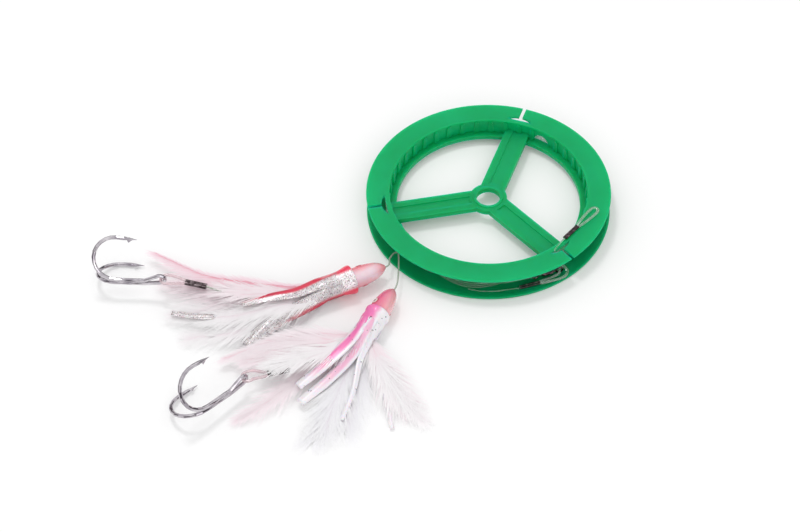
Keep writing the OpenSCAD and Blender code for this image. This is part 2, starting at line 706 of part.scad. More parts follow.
module feather_b_2() {
  feather(nose_b, az_b, [-3, -1.3], [[-88, -114, 5], [-109, -128, 4.2], [-132, -148, 3.4], [-150, -160, 2]],
    [1.6, 2, 4, 5.5, 4.6, 1], pale);
}

module feather_b_3() {
  feather(nose_b, az_b, [-2.2, -3.8], [[-86.8, -119, 2.2], [-93.5, -139, 1.6], [-102, -162, 1.6], [-111, -185, 1.2]],
    [1.4, 1.7, 4, 5.6, 5.6, 1], white);
}

module feather_b_4() {
  feather(nose_b, az_b, [0.9, -2.7], [[-79.4, -119, 3.3], [-81.5, -139, 2.4], [-84, -159, 1.2], [-85.5, -178, 1]],
    [1.1, 1.4, 3.6, 5, 5, 1], white);
}

module feather_b_5() {
  feather(nose_b, az_b, [2.9, -0.6], [[-72.6, -113.5, 7.6], [-67.5, -127.5, 6.6], [-61, -143, 5.2], [-51, -157, 1.8]],
    [1.6, 2, 3.6, 5, 4.6, 1], pale);
}

// ---- double hooks on their loops ----

pivot_a = [-197.4, -63.8, 15.3];
pivot_b = [-146.8, -139.3, 12.4];
hook_az_a = 175.8;
hook_az_b = 224.3;
hook_rise_a = 1.3;
hook_rise_b = 5.8;
hook_roll_a = 16.3;
hook_roll_b = 20;
loop_az_b = 220;
sleeve_at_a = [-170.5, -67.8, 12];
sleeve_at_b = [-120.8, -130.5, 9.3];
sleeve_az_a = 165;
sleeve_az_b = 195;
sleeve_rise_a = 4;
sleeve_rise_b = 4;
eye_gap = 0.4; // between the loop's tube and the eye that hangs on it
eye_x = hook_eye_r - hook_wire_d / 2 - hook_tube_d / 2 - eye_gap;
eye_leg_end = 10; // where the eye's two legs meet the shanks

lean = asin(point_lean / point_len); // the bend turns this much past a half circle
shank_z = [-1.8, -1.8 - hook_wire_d - 0.06]; // heights of the two shanks under the pivot
hook_r = hook_wire_d / 2;

// Angle on the eye where the leg to shank k leaves it
function leg_angle(k) = let (v = [eye_leg_end - eye_x, shank_z[k]])
  atan2(v[1], v[0]) + (k == 0 ? 1 : -1) * acos(hook_eye_r / norm(v));

// Rings of one half of the wire, from the eye to the point: [middle, across, radius, barb]
function half_hook(k, roll) = let (
  a = roll + bend_spread / 2 * (1 - 2 * k),
  side = 90 - a > 90 ? -90 - a : 90 - a,
  out = [0, -cos(a), sin(a)],
  leg_to = [eye_leg_end, 0, shank_z[k]],
  leg_from = [eye_x, 0, 0] + hook_eye_r * [cos(leg_angle(k)), 0, sin(leg_angle(k))],
  bend_at = [shank_len, 0, shank_z[k]],
  middle = bend_at + bend_r * out,
  end = middle + bend_r * (cos(lean) * out - sin(lean) * [1, 0, 0]),
  back = -cos(lean) * [1, 0, 0] - sin(lean) * out,
  across = function(t) [0, cos(side * t), sin(side * t)],
  along_leg = function(q) let (x = point_len - q) end + x * back,
  none = [0, 0, 0]
) concat(
  [for (t = [0.35, 0.7, 1]) [leg_from + t * (leg_to - leg_from), [0, 1, 0], hook_r, none]],
  [for (t = [0.25, 0.5, 0.75, 1]) [leg_to + t * (bend_at - leg_to), across(t), hook_r, none]],
  [
    for (i = [1:12]) let (u = i / 12 * (180 + lean))
      [middle + bend_r * (sin(u) * [1, 0, 0] - cos(u) * out), across(1), hook_r, none]
  ],
  [
    [along_leg(8), across(1), hook_r, none],
    [along_leg(5.4 + barb_len * 0.2), across(1), hook_r * 0.8, none],
    [along_leg(5.4), across(1), hook_r * 0.76, -barb_len * 0.5 * out],
    [along_leg(5.4 - barb_len * 0.8), across(1), hook_r * 0.45, none],
    [along_leg(0), across(1), 0.08, none],
  ]
);

// A double hook of one wire: a drop-shaped eye, two shanks side by side and two bends
module double_hook(pivot, az, rise, roll) {
  first = half_hook(0, roll);
  wire = concat(
    [for (i = [len(first) - 1:-1:0]) first[i]],
    [
      for (i = [0:12]) let (u = leg_angle(0) + (leg_angle(1) + 360 - leg_angle(0)) * i / 12)
        [[eye_x, 0, 0] + hook_eye_r * [cos(u), 0, sin(u)], [0, 1, 0], hook_r, [0, 0, 0]]
    ],
    half_hook(1, roll)
  );
  n = len(wire);
  m = 12;
  points = [
    for (i = [0:n - 1]) let (
      w = wire[i],
      ahead = unit(wire[min(i + 1, n - 1)][0] - wire[max(i - 1, 0)][0]),
      up = cross(w[1], ahead)
    ) for (j = [0:m - 1]) let (
      dir = cos(360 * j / m) * w[1] + sin(360 * j / m) * up,
      share = norm(w[3]) > 0 ? max(0, dir * unit(w[3]))^8 : 0
    ) w[0] + w[2] * dir + share * w[3]
  ];
  sides = [
    for (i = [0:n - 2]) for (k = [0:m - 1]) let (a = i * m + k, b = i * m + (k + 1) % m)
      each [[a, a + m, b], [b, a + m, b + m]]
  ];
  color([0.72, 0.7, 0.71]) translate(pivot) rotate([0, -rise, az])
    polyhedron(points, concat(sides, [[for (k = [0:m - 1]) k], [for (k = [m - 1:-1:0]) (n - 1) * m + k]]));
}

module double_hook_a() {
  double_hook(pivot_a, hook_az_a, hook_rise_a, hook_roll_a);
}

module double_hook_b() {
  double_hook(pivot_b, hook_az_b, hook_rise_b, hook_roll_b);
}

module lure_sleeve(at, az, rise) {
  color([0.36, 0.31, 0.31]) translate(at) rotate([0, -rise, az]) crimp_sleeve(lure_sleeve_d, lure_sleeve_len);
}

module hook_loop(at, az, rise, pivot, tip_az) {
  from = at + lure_sleeve_len * heading(az, rise);
  color([0.95, 0.8, 0.84, 0.6])
    tube(loop_points(from, heading(az, rise), pivot, heading(tip_az), hook_tube_d / 2 + lay_gap, hook_loop_r),
      hook_tube_d);
}

leader_a_route = concat(
  [[-31.8, -55.1, wind_z], [-38.6, -52.2, 2.5], [-46, -47.8, 3.8], [-53, -43, 6.3], [-58, -41.8, 8],
    [-61.6, -47, 8.4]],
  [for (x = [-2, 8, 18, 28, 36]) on_lure(nose_a, az_a, x)],
  [[-112, -75.5, 8.2], [-130, -78.5, 8.4], [-148, -76, 9.6], [-160, -72, 10.9], sleeve_at_a]
);

leader_b_route = concat(
  [[-37.3, -53.2, 8.6], [-44, -48.8, 8.8], [-51, -43.8, 9], [-55.8, -42.2, 9], [-56.2, -47.5, 8.6],
    [-56.6, -57, 8.4]],
  [for (x = [-4, 6, 16, 26, 36]) on_lure(nose_b, az_b, x)],
  [[-84, -110, 7.8], [-95, -116.5, 7.8], [-108, -123.8, 8.3], sleeve_at_b]
);

module leader_a() {
  color([0.62, 0.68, 0.6, 0.8]) tube(through(leader_a_route, 4), leader_d);
}

module leader_b() {
  color([0.62, 0.68, 0.6, 0.8]) tube(through(leader_b_route, 4), leader_d);
}

module head_a() {
  lure_head(nose_a, az_a, eye_roll_a, [0.95, 0.82, 0.86]);
}

module head_b() {
  lure_head(nose_b, az_b, eye_roll_b, [0.94, 0.6, 0.63]);
}

module lure_eyes_a() {
  lure_eyes(nose_a, az_a, eye_roll_a);
}

module lure_eyes_b() {
  lure_eyes(nose_b, az_b, eye_roll_b);
}

module thread_wrap_a() {
  thread_wrap(nose_a, az_a);
}

module thread_wrap_b() {
  thread_wrap(nose_b, az_b);
}

module lure_sleeve_a() {
  lure_sleeve(sleeve_at_a, sleeve_az_a, sleeve_rise_a);
}

module lure_sleeve_b() {
  lure_sleeve(sleeve_at_b, sleeve_az_b, sleeve_rise_b);
}

module hook_loop_a() {
  hook_loop(sleeve_at_a, sleeve_az_a, sleeve_rise_a, pivot_a, hook_az_a);
}

module hook_loop_b() {
  hook_loop(sleeve_at_b, sleeve_az_b, sleeve_rise_b, pivot_b, loop_az_b);
}

spool_body();
wound_line();
end_line();
end_sleeve();
end_loop();
swivel_line();
swivel_sleeve();
swivel_loop();
swivel_eye_front();
swivel_barrel();
swivel_eye_rear();
swivel_knot();
swivel_tail();
leader_a();
leader_b();
head_a();
head_b();
lure_eyes_a();
lure_eyes_b();
skirt_a();
skirt_b();
skirt_strips_a();
skirt_strips_b();
thread_wrap_a();
thread_wrap_b();
feather_a_1();
feather_a_2();
feather_a_3();
feather_a_4();
feather_a_5();
feather_b_1();
feather_b_2();
feather_b_3();
feather_b_4();
feather_b_5();
lure_sleeve_a();
lure_sleeve_b();
hook_loop_a();
hook_loop_b();
double_hook_a();
double_hook_b();
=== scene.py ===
import math

import bpy
import numpy as np
from mathutils import Matrix, Vector


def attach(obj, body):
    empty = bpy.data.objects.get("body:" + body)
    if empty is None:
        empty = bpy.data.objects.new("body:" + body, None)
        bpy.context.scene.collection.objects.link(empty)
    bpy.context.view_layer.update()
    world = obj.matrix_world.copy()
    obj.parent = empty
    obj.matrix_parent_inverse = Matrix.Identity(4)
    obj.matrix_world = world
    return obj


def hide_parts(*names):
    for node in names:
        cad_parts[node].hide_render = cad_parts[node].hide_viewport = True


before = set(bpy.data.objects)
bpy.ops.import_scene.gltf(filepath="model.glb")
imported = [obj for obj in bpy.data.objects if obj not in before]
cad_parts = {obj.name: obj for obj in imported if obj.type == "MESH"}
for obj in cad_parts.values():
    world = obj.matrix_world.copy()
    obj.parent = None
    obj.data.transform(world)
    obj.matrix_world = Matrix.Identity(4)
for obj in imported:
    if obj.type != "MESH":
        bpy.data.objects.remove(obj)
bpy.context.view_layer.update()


# ---- Camera ----
# A 90 mm lens about 1.2 m away, 48 degrees above the table and tipped a little,
# so that the ring sits up and right and the two lures trail down to the left.

lens_elevation = math.radians(48.407)
lens_tip = math.radians(-1.842)
lens_distance = 1.20719
looked_at = Vector((-0.05562, -0.04581, 0))

away = Vector((0, -math.cos(lens_elevation), math.sin(lens_elevation)))
level_up = Vector((0, math.sin(lens_elevation), math.cos(lens_elevation)))
picture_right = math.cos(lens_tip) * Vector((1, 0, 0)) + math.sin(lens_tip) * level_up
picture_up = -math.sin(lens_tip) * Vector((1, 0, 0)) + math.cos(lens_tip) * level_up
camera_data = bpy.data.cameras.new("camera")
camera_data.lens = 90
camera_data.sensor_width = 36
camera = bpy.data.objects.new("camera", camera_data)
bpy.context.scene.collection.objects.link(camera)
camera.matrix_world = Matrix.Translation(looked_at + lens_distance * away) @ Matrix(
    (picture_right, picture_up, away)
).transposed().to_4x4()
bpy.context.scene.camera = camera


# ---- Leaders ----
# Two lengths of stiff nylon monofilament, one for each lure. They come off the ring's
# groove, run through the drilled heads and end in a crimped sleeve behind each skirt.

mm = 0.001
leader_thickness = 0.001
nose_a = np.array([-0.0647, -0.0538, 0.0086])
nose_b = np.array([-0.0599, -0.0723, 0.0086])
lure_turn_a = 204.4
lure_turn_b = 242.0
drum_radius = 0.0625
line_thickness = 0.0008
first_turn_height = 0.00215


def linear(code):
    """Linear colour of an sRGB hex code."""
    parts = [int(code[i : i + 2], 16) / 255 for i in (1, 3, 5)]
    return tuple(p / 12.92 if p <= 0.04045 else ((p + 0.055) / 1.055) ** 2.4 for p in parts) + (1,)


def add(tree, kind, sockets=None, **settings):
    """Adds a node to a shader or geometry tree, with its settings and its links or values."""
    made = tree.nodes.new(kind)
    for name, value in settings.items():
        setattr(made, name, value)
    for name, value in (sockets or {}).items():
        if isinstance(value, bpy.types.NodeSocket):
            tree.links.new(value, made.inputs[name])
        else:
            made.inputs[name].default_value = value
    return made


def finish_named(name, **sockets):
    """A material with one Principled shader, whose constant values are set on its own sockets."""
    made = bpy.data.materials.new(name)
    made.use_nodes = True
    shader = made.node_tree.nodes["Principled BSDF"]
    for key, value in sockets.items():
        shader.inputs[key.replace("_", " ")].default_value = value
    return made, made.node_tree, shader


def ramp(tree, value, *stops):
    """Colour of a value, from stops of a place and a hex code."""
    made = add(tree, "ShaderNodeValToRGB", {"Fac": value})
    elements = made.color_ramp.elements
    for element, (at, code) in ((elements[0], stops[0]), (elements[1], stops[-1])):
        element.position = at
        element.color = linear(code)
    for at, code in stops[1:-1]:
        elements.new(at).color = linear(code)
    return made.outputs["Color"]


def mottle(tree, shader, scale, detail, *stops):
    """Colours a finish unevenly, by a noise in the material, and gives that noise."""
    place = add(tree, "ShaderNodeTexCoord")
    noise = add(tree, "ShaderNodeTexNoise",
                {"Vector": place.outputs["Object"], "Scale": scale, "Detail": detail})
    tree.links.new(ramp(tree, noise.outputs["Fac"], *stops), shader.inputs["Base Color"])
    return noise


def metres(*points):
    """Points given in millimetres, as arrays in metres."""
    return [np.array(p) * mm for p in points]


def heading(turn):
    """Level direction at so many degrees from +X."""
    return np.array([math.cos(math.radians(turn)), math.sin(math.radians(turn)), 0.0])


def on_lure(nose, turn, back, off=0.0, angle=0.0):
    """Point on a lure, so far behind its nose and off its axis, at an angle from its left side."""
    a = math.radians(angle)
    return nose + back * heading(turn) + off * (math.cos(a) * heading(turn + 90) + np.array([0, 0,
                                                                                             math.sin(a)]))


def through(points, steps):
    """A smooth curve through the points, with so many steps between each two."""
    p = np.array(points, float)
    n = len(p)
    made = []
    for i in range(n - 1):
        a, b, c, d = p[max(i - 1, 0)], p[i], p[i + 1], p[min(i + 2, n - 1)]
        m0 = (c - a) / (1 if i == 0 else 2)
        m1 = (d - b) / (1 if i == n - 2 else 2)
        for j in range(steps):
            t = j / steps
            made.append(
                (2 * t**3 - 3 * t**2 + 1) * b
                + (t**3 - 2 * t**2 + t) * m0
                + (3 * t**2 - 2 * t**3) * c
                + (t**3 - t**2) * m1
            )
    made.append(p[-1])
    return np.array(made)


def line_piece(name, points, thickness, material, body="spool"):
    """A round line along the points, as a curve with one open spline."""
    data = bpy.data.curves.new(name, "CURVE")
    data.dimensions = "3D"
    data.bevel_depth = thickness / 2
    data.bevel_resolution = 3
    data.use_fill_caps = True
    spline = data.splines.new("POLY")
    spline.points.add(len(points) - 1)
    for point, place in zip(spline.points, points):
        point.co = (*place, 1)
    data.materials.append(material)
    made = bpy.data.objects.new(name, data)
    bpy.context.scene.collection.objects.link(made)
    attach(made, body)
    return made


# Extruded nylon: smooth and slightly milky, with a grey-green tint in the thickness.
leader_nylon, tree, shader = finish_named(
    "extruded grey-green nylon", Roughness=0.22, IOR=1.53, Transmission_Weight=0.45, Coat_Weight=0.3
)
mottle(tree, shader, 240.0, 3.0, (0.0, "#a3b0a0"), (1.0, "#d3dacd"))

# Each leader goes from the groove to the nose, through the bore, and on to its sleeve.
leader_a_route = (
    metres([-31.8, -55.1, 2.15], [-38.6, -52.2, 2.5], [-46, -47.8, 3.8], [-53, -43, 6.3], [-58, -41.8, 8],
           [-61.6, -47, 8.4])
    + [on_lure(nose_a, lure_turn_a, back * mm) for back in (-2, 8, 18, 28, 36)]
    + metres([-112, -75.5, 8.2], [-130, -78.5, 8.4], [-148, -76, 9.6], [-160, -72, 10.9], [-170.5, -67.8, 12])
)
leader_b_route = (
    metres([-37.3, -53.2, 8.6], [-44, -48.8, 8.8], [-51, -43.8, 9], [-55.8, -42.2, 9], [-56.2, -47.5, 8.6],
           [-56.6, -57, 8.4])
    + [on_lure(nose_b, lure_turn_b, back * mm) for back in (-4, 6, 16, 26, 36)]
    + metres([-84, -110, 7.8], [-95, -116.5, 7.8], [-108, -123.8, 8.3], [-120.8, -130.5, 9.3])
)
for letter, route in (("a", leader_a_route), ("b", leader_b_route)):
    points = through(route, 6)
    leader = line_piece("leader_line_" + letter, points, leader_thickness, leader_nylon)
    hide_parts("leader_" + letter)


# ---- Line on the rim ----
# Clear nylon line: the stretch that comes up through a line slot to the end loop, the
# stretch that lies in the groove in front of the swivel, and the tail behind the swivel.

swivel_turn = 15.9
swivel_from_axis = 67
swivel_direction = math.radians(-61.1)
swivel_height = 4.1
swivel_at = mm * np.array(
    [swivel_from_axis * math.cos(swivel_direction), swivel_from_axis * math.sin(swivel_direction),
     swivel_height]
)

# Clear extruded nylon: glassy, with soft long variations in its gloss.
clear_nylon, tree, shader = finish_named(
    "clear extruded nylon", Roughness=0.06, IOR=1.4, Transmission_Weight=0.93, Coat_Weight=0.1
)
mottle(tree, shader, 180.0, 2.0, (0.0, "#e2efe9"), (1.0, "#f4faf7"))


def from_swivel(x, y, z):
    """From the swivel's own axes, in millimetres, to the ring's, in metres."""
    return swivel_at + mm * (x * heading(swivel_turn) + y * heading(swivel_turn + 90) + np.array([0, 0, z]))


winding_turns = 9 + 1 / 6
winding_height = 0.0119
winding_start = -120
winding_slack = 0.00004
loose_turns = 4
bulge_start = 232
bulge_span = 50
bulge = 0.005


def winding_point(turn):
    """Point of the winding after so many turns; the loose lower turns stand off the drum in front."""
    angle = winding_start + 360 * turn
    into_bulge = (angle - bulge_start) % 360
    radius = drum_radius + line_thickness / 2 + winding_slack
    if turn < loose_turns and into_bulge < bulge_span:
        share = math.sin(math.radians(180 * into_bulge / bulge_span)) ** 2
        radius += bulge * share * (1 - 0.08 * math.floor(turn))
    return np.array([*(radius * heading(angle))[:2],
                     first_turn_height + winding_height * turn / winding_turns])


ring_height = 16.5
end_height = ring_height + 0.8 + 0.1  # half a tube and the gap it lies with
end_sleeve_start = [43.4, -43.2, end_height]
end_line_route = [winding_point(winding_turns)] + metres(
    [34.8, -54.1, 14.2], [36.4, -53.1, 15.5], [37, -51.9, 17], [38.4, -49.4, end_height], end_sleeve_start
)
tail_route = [from_swivel(-11.66, 0, 0)] + metres([16.5, -63.3, 4.1], [12, -64.4, 4], [6, -65.4, 3.8])
groove_line_route = [from_swivel(-18.94, -4.3, -2.3)] + metres(
    [8, -69.6, 2.5], [0, -70.6, 2.6], [-8, -70.2, 2.7], [-15.6, -68.4, 2.8]
)
for name, node, route in (
    ("end_line_run", "end_line", end_line_route),
    ("swivel_tail_run", "swivel_tail", tail_route),
    ("groove_line_run", "swivel_line", groove_line_route),
):
    points = through(route, 8)
    run = line_piece(name, points, line_thickness, clear_nylon)
    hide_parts(node)


# ---- Loops in chafe tube ----
# Each loop of line is cased in soft clear tube where it bears on metal: one at the rig's
# end, one through the swivel's front eye and one, tinted pink, through each double hook.

small_tube = 0.0016
hook_tube = 0.0018


def loop_points(start, start_heading, tip, tip_heading, start_half, tip_half):
    """Two strands that leave a sleeve side by side, open out and meet round the tip."""
    up = np.array([0, 0, 1.0])
    centre = tip - tip_half * tip_heading
    span = np.linalg.norm(centre - start)
    steps = 14
    middle = []
    for i in range(steps + 1):
        t = i / steps
        middle.append(
            (2 * t**3 - 3 * t**2 + 1) * start + (t**3 - 2 * t**2 + t) * span * start_heading
            + (3 * t**2 - 2 * t**3) * centre + (t**3 - t**2) * span * tip_heading
        )
    across = []
    for i in range(steps + 1):
        if 0 < i < steps:
            ahead = middle[i + 1] - middle[i - 1]
        else:
            ahead = start_heading if i == 0 else tip_heading
        side = np.cross(ahead, up)
        across.append(side / np.linalg.norm(side))
    half = [
        start_half + (tip_half - start_half) * math.sin(math.radians(90 * i / steps)) for i in range(steps + 1)
    ]
    one = [middle[i] - half[i] * across[i] for i in range(steps + 1)]
    other = [middle[i] + half[i] * across[i] for i in range(steps, -1, -1)]
    round_tip = [
        centre - tip_half * math.cos(a) * across[steps] + tip_half * math.sin(a) * tip_heading
        for a in (math.pi * k / 16 for k in range(1, 16))
    ]
    return np.array(one + round_tip + other)


def rising(turn, rise):
    """Direction at so many degrees from +X that climbs by so many degrees."""
    r = math.radians(rise)
    return math.cos(r) * heading(turn) + np.array([0, 0, math.sin(r)])


# Clear soft vinyl tube: glassy, a little cloudy where it bends.
clear_vinyl, tree, shader = finish_named(
    "clear vinyl tube", Roughness=0.05, IOR=1.46, Transmission_Weight=0.88, Coat_Weight=0.4
)
mottle(tree, shader, 300.0, 2.0, (0.0, "#e6f2ed"), (1.0, "#ffffff"))

pink_vinyl, tree, shader = finish_named(
    "pink tinted vinyl tube", Roughness=0.14, IOR=1.52, Transmission_Weight=0.55, Coat_Weight=0.5
)
mottle(tree, shader, 260.0, 2.0, (0.0, "#eccbd3"), (1.0, "#fdf3f5"))

end_turn = 48
end_ahead = heading(end_turn)
small_sleeve_length = 0.0126
end_loop_length = 0.019
end_sleeve_end = metres(end_sleeve_start)[0] + small_sleeve_length * end_ahead
end_loop_route = loop_points(
    end_sleeve_end, end_ahead, end_sleeve_end + end_loop_length * end_ahead, end_ahead, 0.00085, 0.0023
)
swivel_loop_route = through(
    [
        from_swivel(*p)
        for p in [
            [-6.34, -5.15, -1.7], [-1, -5.5, -1.5], [5.5, -5.6, -1.1], [9.8, -4.7, -0.8], [12, -1.9, -0.5],
            [11.6, 1.3, -0.2], [9.5, 2.5, 0], [8, 1.5, 0], [7.6, 0, 0], [6.9, -1.8, -0.2], [4, -2.95, -0.8],
            [-1, -3.3, -1.4], [-6.34, -3.45, -1.7],
        ]
    ],
    6,
)
# Each hook's loop starts where the leader's sleeve ends and has its tip at the hook's pivot.
lure_sleeve_length = 0.013
sleeve_rise = 4
hook_loop_start = 0.001
hook_loop_tip = 0.0034
sleeve_ahead_a = rising(165, sleeve_rise)
sleeve_ahead_b = rising(195, sleeve_rise)
pivot_a, pivot_b = metres([-197.4, -63.8, 15.3], [-146.8, -139.3, 12.4])
sleeve_a_end = leader_a_route[-1] + lure_sleeve_length * sleeve_ahead_a
sleeve_b_end = leader_b_route[-1] + lure_sleeve_length * sleeve_ahead_b
hook_loop_route_a = loop_points(
    sleeve_a_end, sleeve_ahead_a, pivot_a, heading(175.8), hook_loop_start, hook_loop_tip
)
hook_loop_route_b = loop_points(
    sleeve_b_end, sleeve_ahead_b, pivot_b, heading(220), hook_loop_start, hook_loop_tip
)
for name, node, points, thickness, material, slot in (
    ("end_loop_tube", "end_loop", end_loop_route, small_tube, clear_vinyl, "clear_tube"),
    ("swivel_loop_tube", "swivel_loop", swivel_loop_route, small_tube, clear_vinyl, "clear_tube"),
    ("hook_loop_tube_a", "hook_loop_a", hook_loop_route_a, hook_tube, pink_vinyl, "pink_tube"),
    ("hook_loop_tube_b", "hook_loop_b", hook_loop_route_b, hook_tube, pink_vinyl, "pink_tube"),
):
    tube = line_piece(name, points, thickness, material)
    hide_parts(node)


# ---- Ring ----
# One moulding in translucent green polypropylene: two flanges, the drum between them,
# a ribbed ledge inside it and three channelled spokes that carry the hub.

# Moulded polypropylene: satin, lit from within where it is thin, with faint flow marks.
green_pp, tree, shader = finish_named(
    "moulded green polypropylene", Roughness=0.42, IOR=1.49, Specular_IOR_Level=0.16, Subsurface_Weight=0.9,
    Subsurface_Scale=0.012,
)
shader.inputs["Subsurface Radius"].default_value = (0.25, 1.0, 0.65)
mottle(tree, shader, 38.0, 4.0, (0.3, "#009a5a"), (0.75, "#06a466"))
place = add(tree, "ShaderNodeTexCoord")
grain = add(tree, "ShaderNodeTexNoise", {"Vector": place.outputs["Object"], "Scale": 900.0, "Detail": 3.0})


def roughen(tree, shader, noise):
    """Presses a noise into a finish as fine relief."""
    relief = add(tree, "ShaderNodeBump",
                 {"Height": noise.outputs["Fac"], "Strength": 0.12, "Distance": 0.0001})
    tree.links.new(relief.outputs["Normal"], shader.inputs["Normal"])


def dress(node, material):
    """Gives a CAD node its finish."""
    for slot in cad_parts[node].material_slots:
        slot.material = material


roughen(tree, shader, grain)
dress("spool_body", green_pp)


# ---- Wound line ----
# Clear nylon line in one layer over the drum, nine turns side by side. The lower turns
# have sprung loose in front, as stiff line does.

points_a_turn = 96
winding_route = [winding_point(i / points_a_turn) for i in range(int(winding_turns * points_a_turn) + 1)]
winding = line_piece("wound_line_turns", winding_route, line_thickness, clear_nylon)
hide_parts("wound_line")


# ---- Crimp sleeves ----
# Double-barrel sleeves of black-nickelled copper, pressed shut with a crimping tool at
# four places, which leaves bright rubbed edges round each dent.

sleeve_metal, tree, shader = finish_named("black-nickelled copper", Metallic=1.0, Roughness=0.3)
rub = mottle(tree, shader, 420.0, 2.0, (0.5, "#453b3d"), (0.68, "#7d7174"))
roughen(tree, shader, rub)
for node in ("end_sleeve", "swivel_sleeve", "lure_sleeve_a", "lure_sleeve_b"):
    dress(node, sleeve_metal)


# ---- Swivel ----
# A barrel swivel of black-nickelled brass: a waisted barrel that holds the headed stems
# of two wire eyes, so that the line can turn without twisting.

swivel_metal, tree, shader = finish_named("black-nickelled brass", Metallic=1.0, Roughness=0.24)
mottle(tree, shader, 520.0, 4.0, (0.42, "#3f3338"), (0.7, "#a98a90"))
for node in ("swivel_barrel", "swivel_eye_front", "swivel_eye_rear"):
    dress(node, swivel_metal)

# The knot: the line goes through the eye, back along itself and round itself.
knot_from = -10.66
bow_at = -9.66
bow_radius = 1.05
wrap_count = 4
wrap_radius = 0.62
wrap_steps = 64
half_line = 0.4
bow = [from_swivel(knot_from - half_line, -half_line, 0)]
for k in range(17):
    a = math.pi * (k / 16 - 0.5)
    bow.append(from_swivel(bow_at + bow_radius * math.cos(a), bow_radius * math.sin(a), 0))
bow.append(from_swivel(knot_from - half_line, half_line, 0))
wraps = []
for k in range(wrap_steps + 1):
    a = 2 * math.pi * wrap_count * k / wrap_steps
    back = knot_from - 0.45 - 2.5 * k / wrap_steps
    wraps.append(from_swivel(back, wrap_radius * math.cos(a), wrap_radius * math.sin(a)))
knot = line_piece("swivel_knot_line", bow + wraps, line_thickness * 0.9, clear_nylon, "swivel_rear")
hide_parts("swivel_knot")


# ---- Double hooks ----
# One bright-tinned spring-steel wire bent into an eye, two shanks side by side and two
# round bends, with ground points and a cut barb on each.

# Tinned steel: mirror-like, with faint drawing marks along the wire and a warm grey cast.
hook_steel, tree, shader = finish_named("bright-tinned steel wire", Metallic=1.0, Roughness=0.1)
mottle(tree, shader, 160.0, 4.0, (0.35, "#a29ca4"), (0.7, "#dcd8dc"))
for node in ("double_hook_a", "double_hook_b"):
    dress(node, hook_steel)


# ---- Lure heads ----
# Bullet-shaped resin heads under pearl lacquer. Lure A is pearl with pink along its back
# and belly; lure B is salmon pink, lighter on one side. Both have stuck-on domed eyes.

head_radius = 0.00635
facing_a = 51.0
facing_b = 67.5


def maths(tree, operation, *values, **settings):
    """Math node on the values, each a number or a socket."""
    return add(tree, "ShaderNodeMath", dict(enumerate(values)), operation=operation, **settings)


def ease(tree, value, start, end, top=1.0):
    """Node that goes smoothly from 0 to top while the value goes from start to end."""
    return add(tree, "ShaderNodeMapRange",
               {"Value": value, "From Min": start, "From Max": end, "To Max": top},
               interpolation_type="SMOOTHSTEP")


def lure_place(tree, nose, turn):
    """Object coordinates turned to a lure: X back along its axis, Y to its left, Z up."""
    place = add(tree, "ShaderNodeTexCoord")
    return add(
        tree, "ShaderNodeMapping",
        {"Vector": place.outputs["Object"], "Location": tuple(nose), "Rotation": (0, 0, math.radians(turn))},
        vector_type="TEXTURE",
    )


def round_share(tree, mapped, angle, radius):
    """From -1 to 1 round the lure's axis: 1 on the side at that angle."""
    a = math.radians(angle)
    along = add(tree, "ShaderNodeVectorMath", {0: mapped.outputs["Vector"], 1: (0, math.cos(a), math.sin(a))},
                operation="DOT_PRODUCT")
    return maths(tree, "MULTIPLY", along.outputs["Value"], 1 / radius)


def pearl_head(name, nose, turn, facing, pale, deep, deep_from, deep_to, nose_share, belly):
    """Pearl lacquer that turns from pale to deep round the head, and towards the nose."""
    made, tree, shader = finish_named(
        name, Roughness=0.2, IOR=1.5, Coat_Weight=1.0, Coat_Roughness=0.05, Subsurface_Weight=0.2,
        Subsurface_Scale=0.001,
    )
    mapped = lure_place(tree, nose, turn)
    side = round_share(tree, mapped, facing + 90, head_radius)
    spread = ease(tree, side.outputs[0], deep_from, deep_to)
    parts = add(tree, "ShaderNodeSeparateXYZ", {"Vector": mapped.outputs["Vector"]})
    tip = ease(tree, parts.outputs["X"], 0.011, 0.0, nose_share)
    under = ease(tree, side.outputs[0], -deep_from - 0.1, -1.0, belly)
    both = maths(tree, "MAXIMUM", spread.outputs[0], tip.outputs[0])
    both = maths(tree, "MAXIMUM", both.outputs[0], under.outputs[0])
    swirl = add(tree, "ShaderNodeTexNoise",
                {"Vector": mapped.outputs["Vector"], "Scale": 260.0, "Detail": 3.0})
    mixed = maths(tree, "MULTIPLY_ADD", swirl.outputs["Fac"], 0.22, -0.11)
    fac = maths(tree, "ADD", both.outputs[0], mixed.outputs[0], use_clamp=True)
    tree.links.new(ramp(tree, fac.outputs[0], (0.0, pale), (1.0, deep)), shader.inputs["Base Color"])
    return made


dress("head_a", pearl_head("pearl lacquer, pink edged", nose_a, lure_turn_a, facing_a, "#ecd5de", "#ee7f8d",
                           0.2, 0.95, 0.85, 0.7))
dress("head_b", pearl_head("pearl lacquer, salmon", nose_b, lure_turn_b, facing_b, "#efb0b6", "#e36088",
                           -0.6, 0.7, 0.6, 0.0))

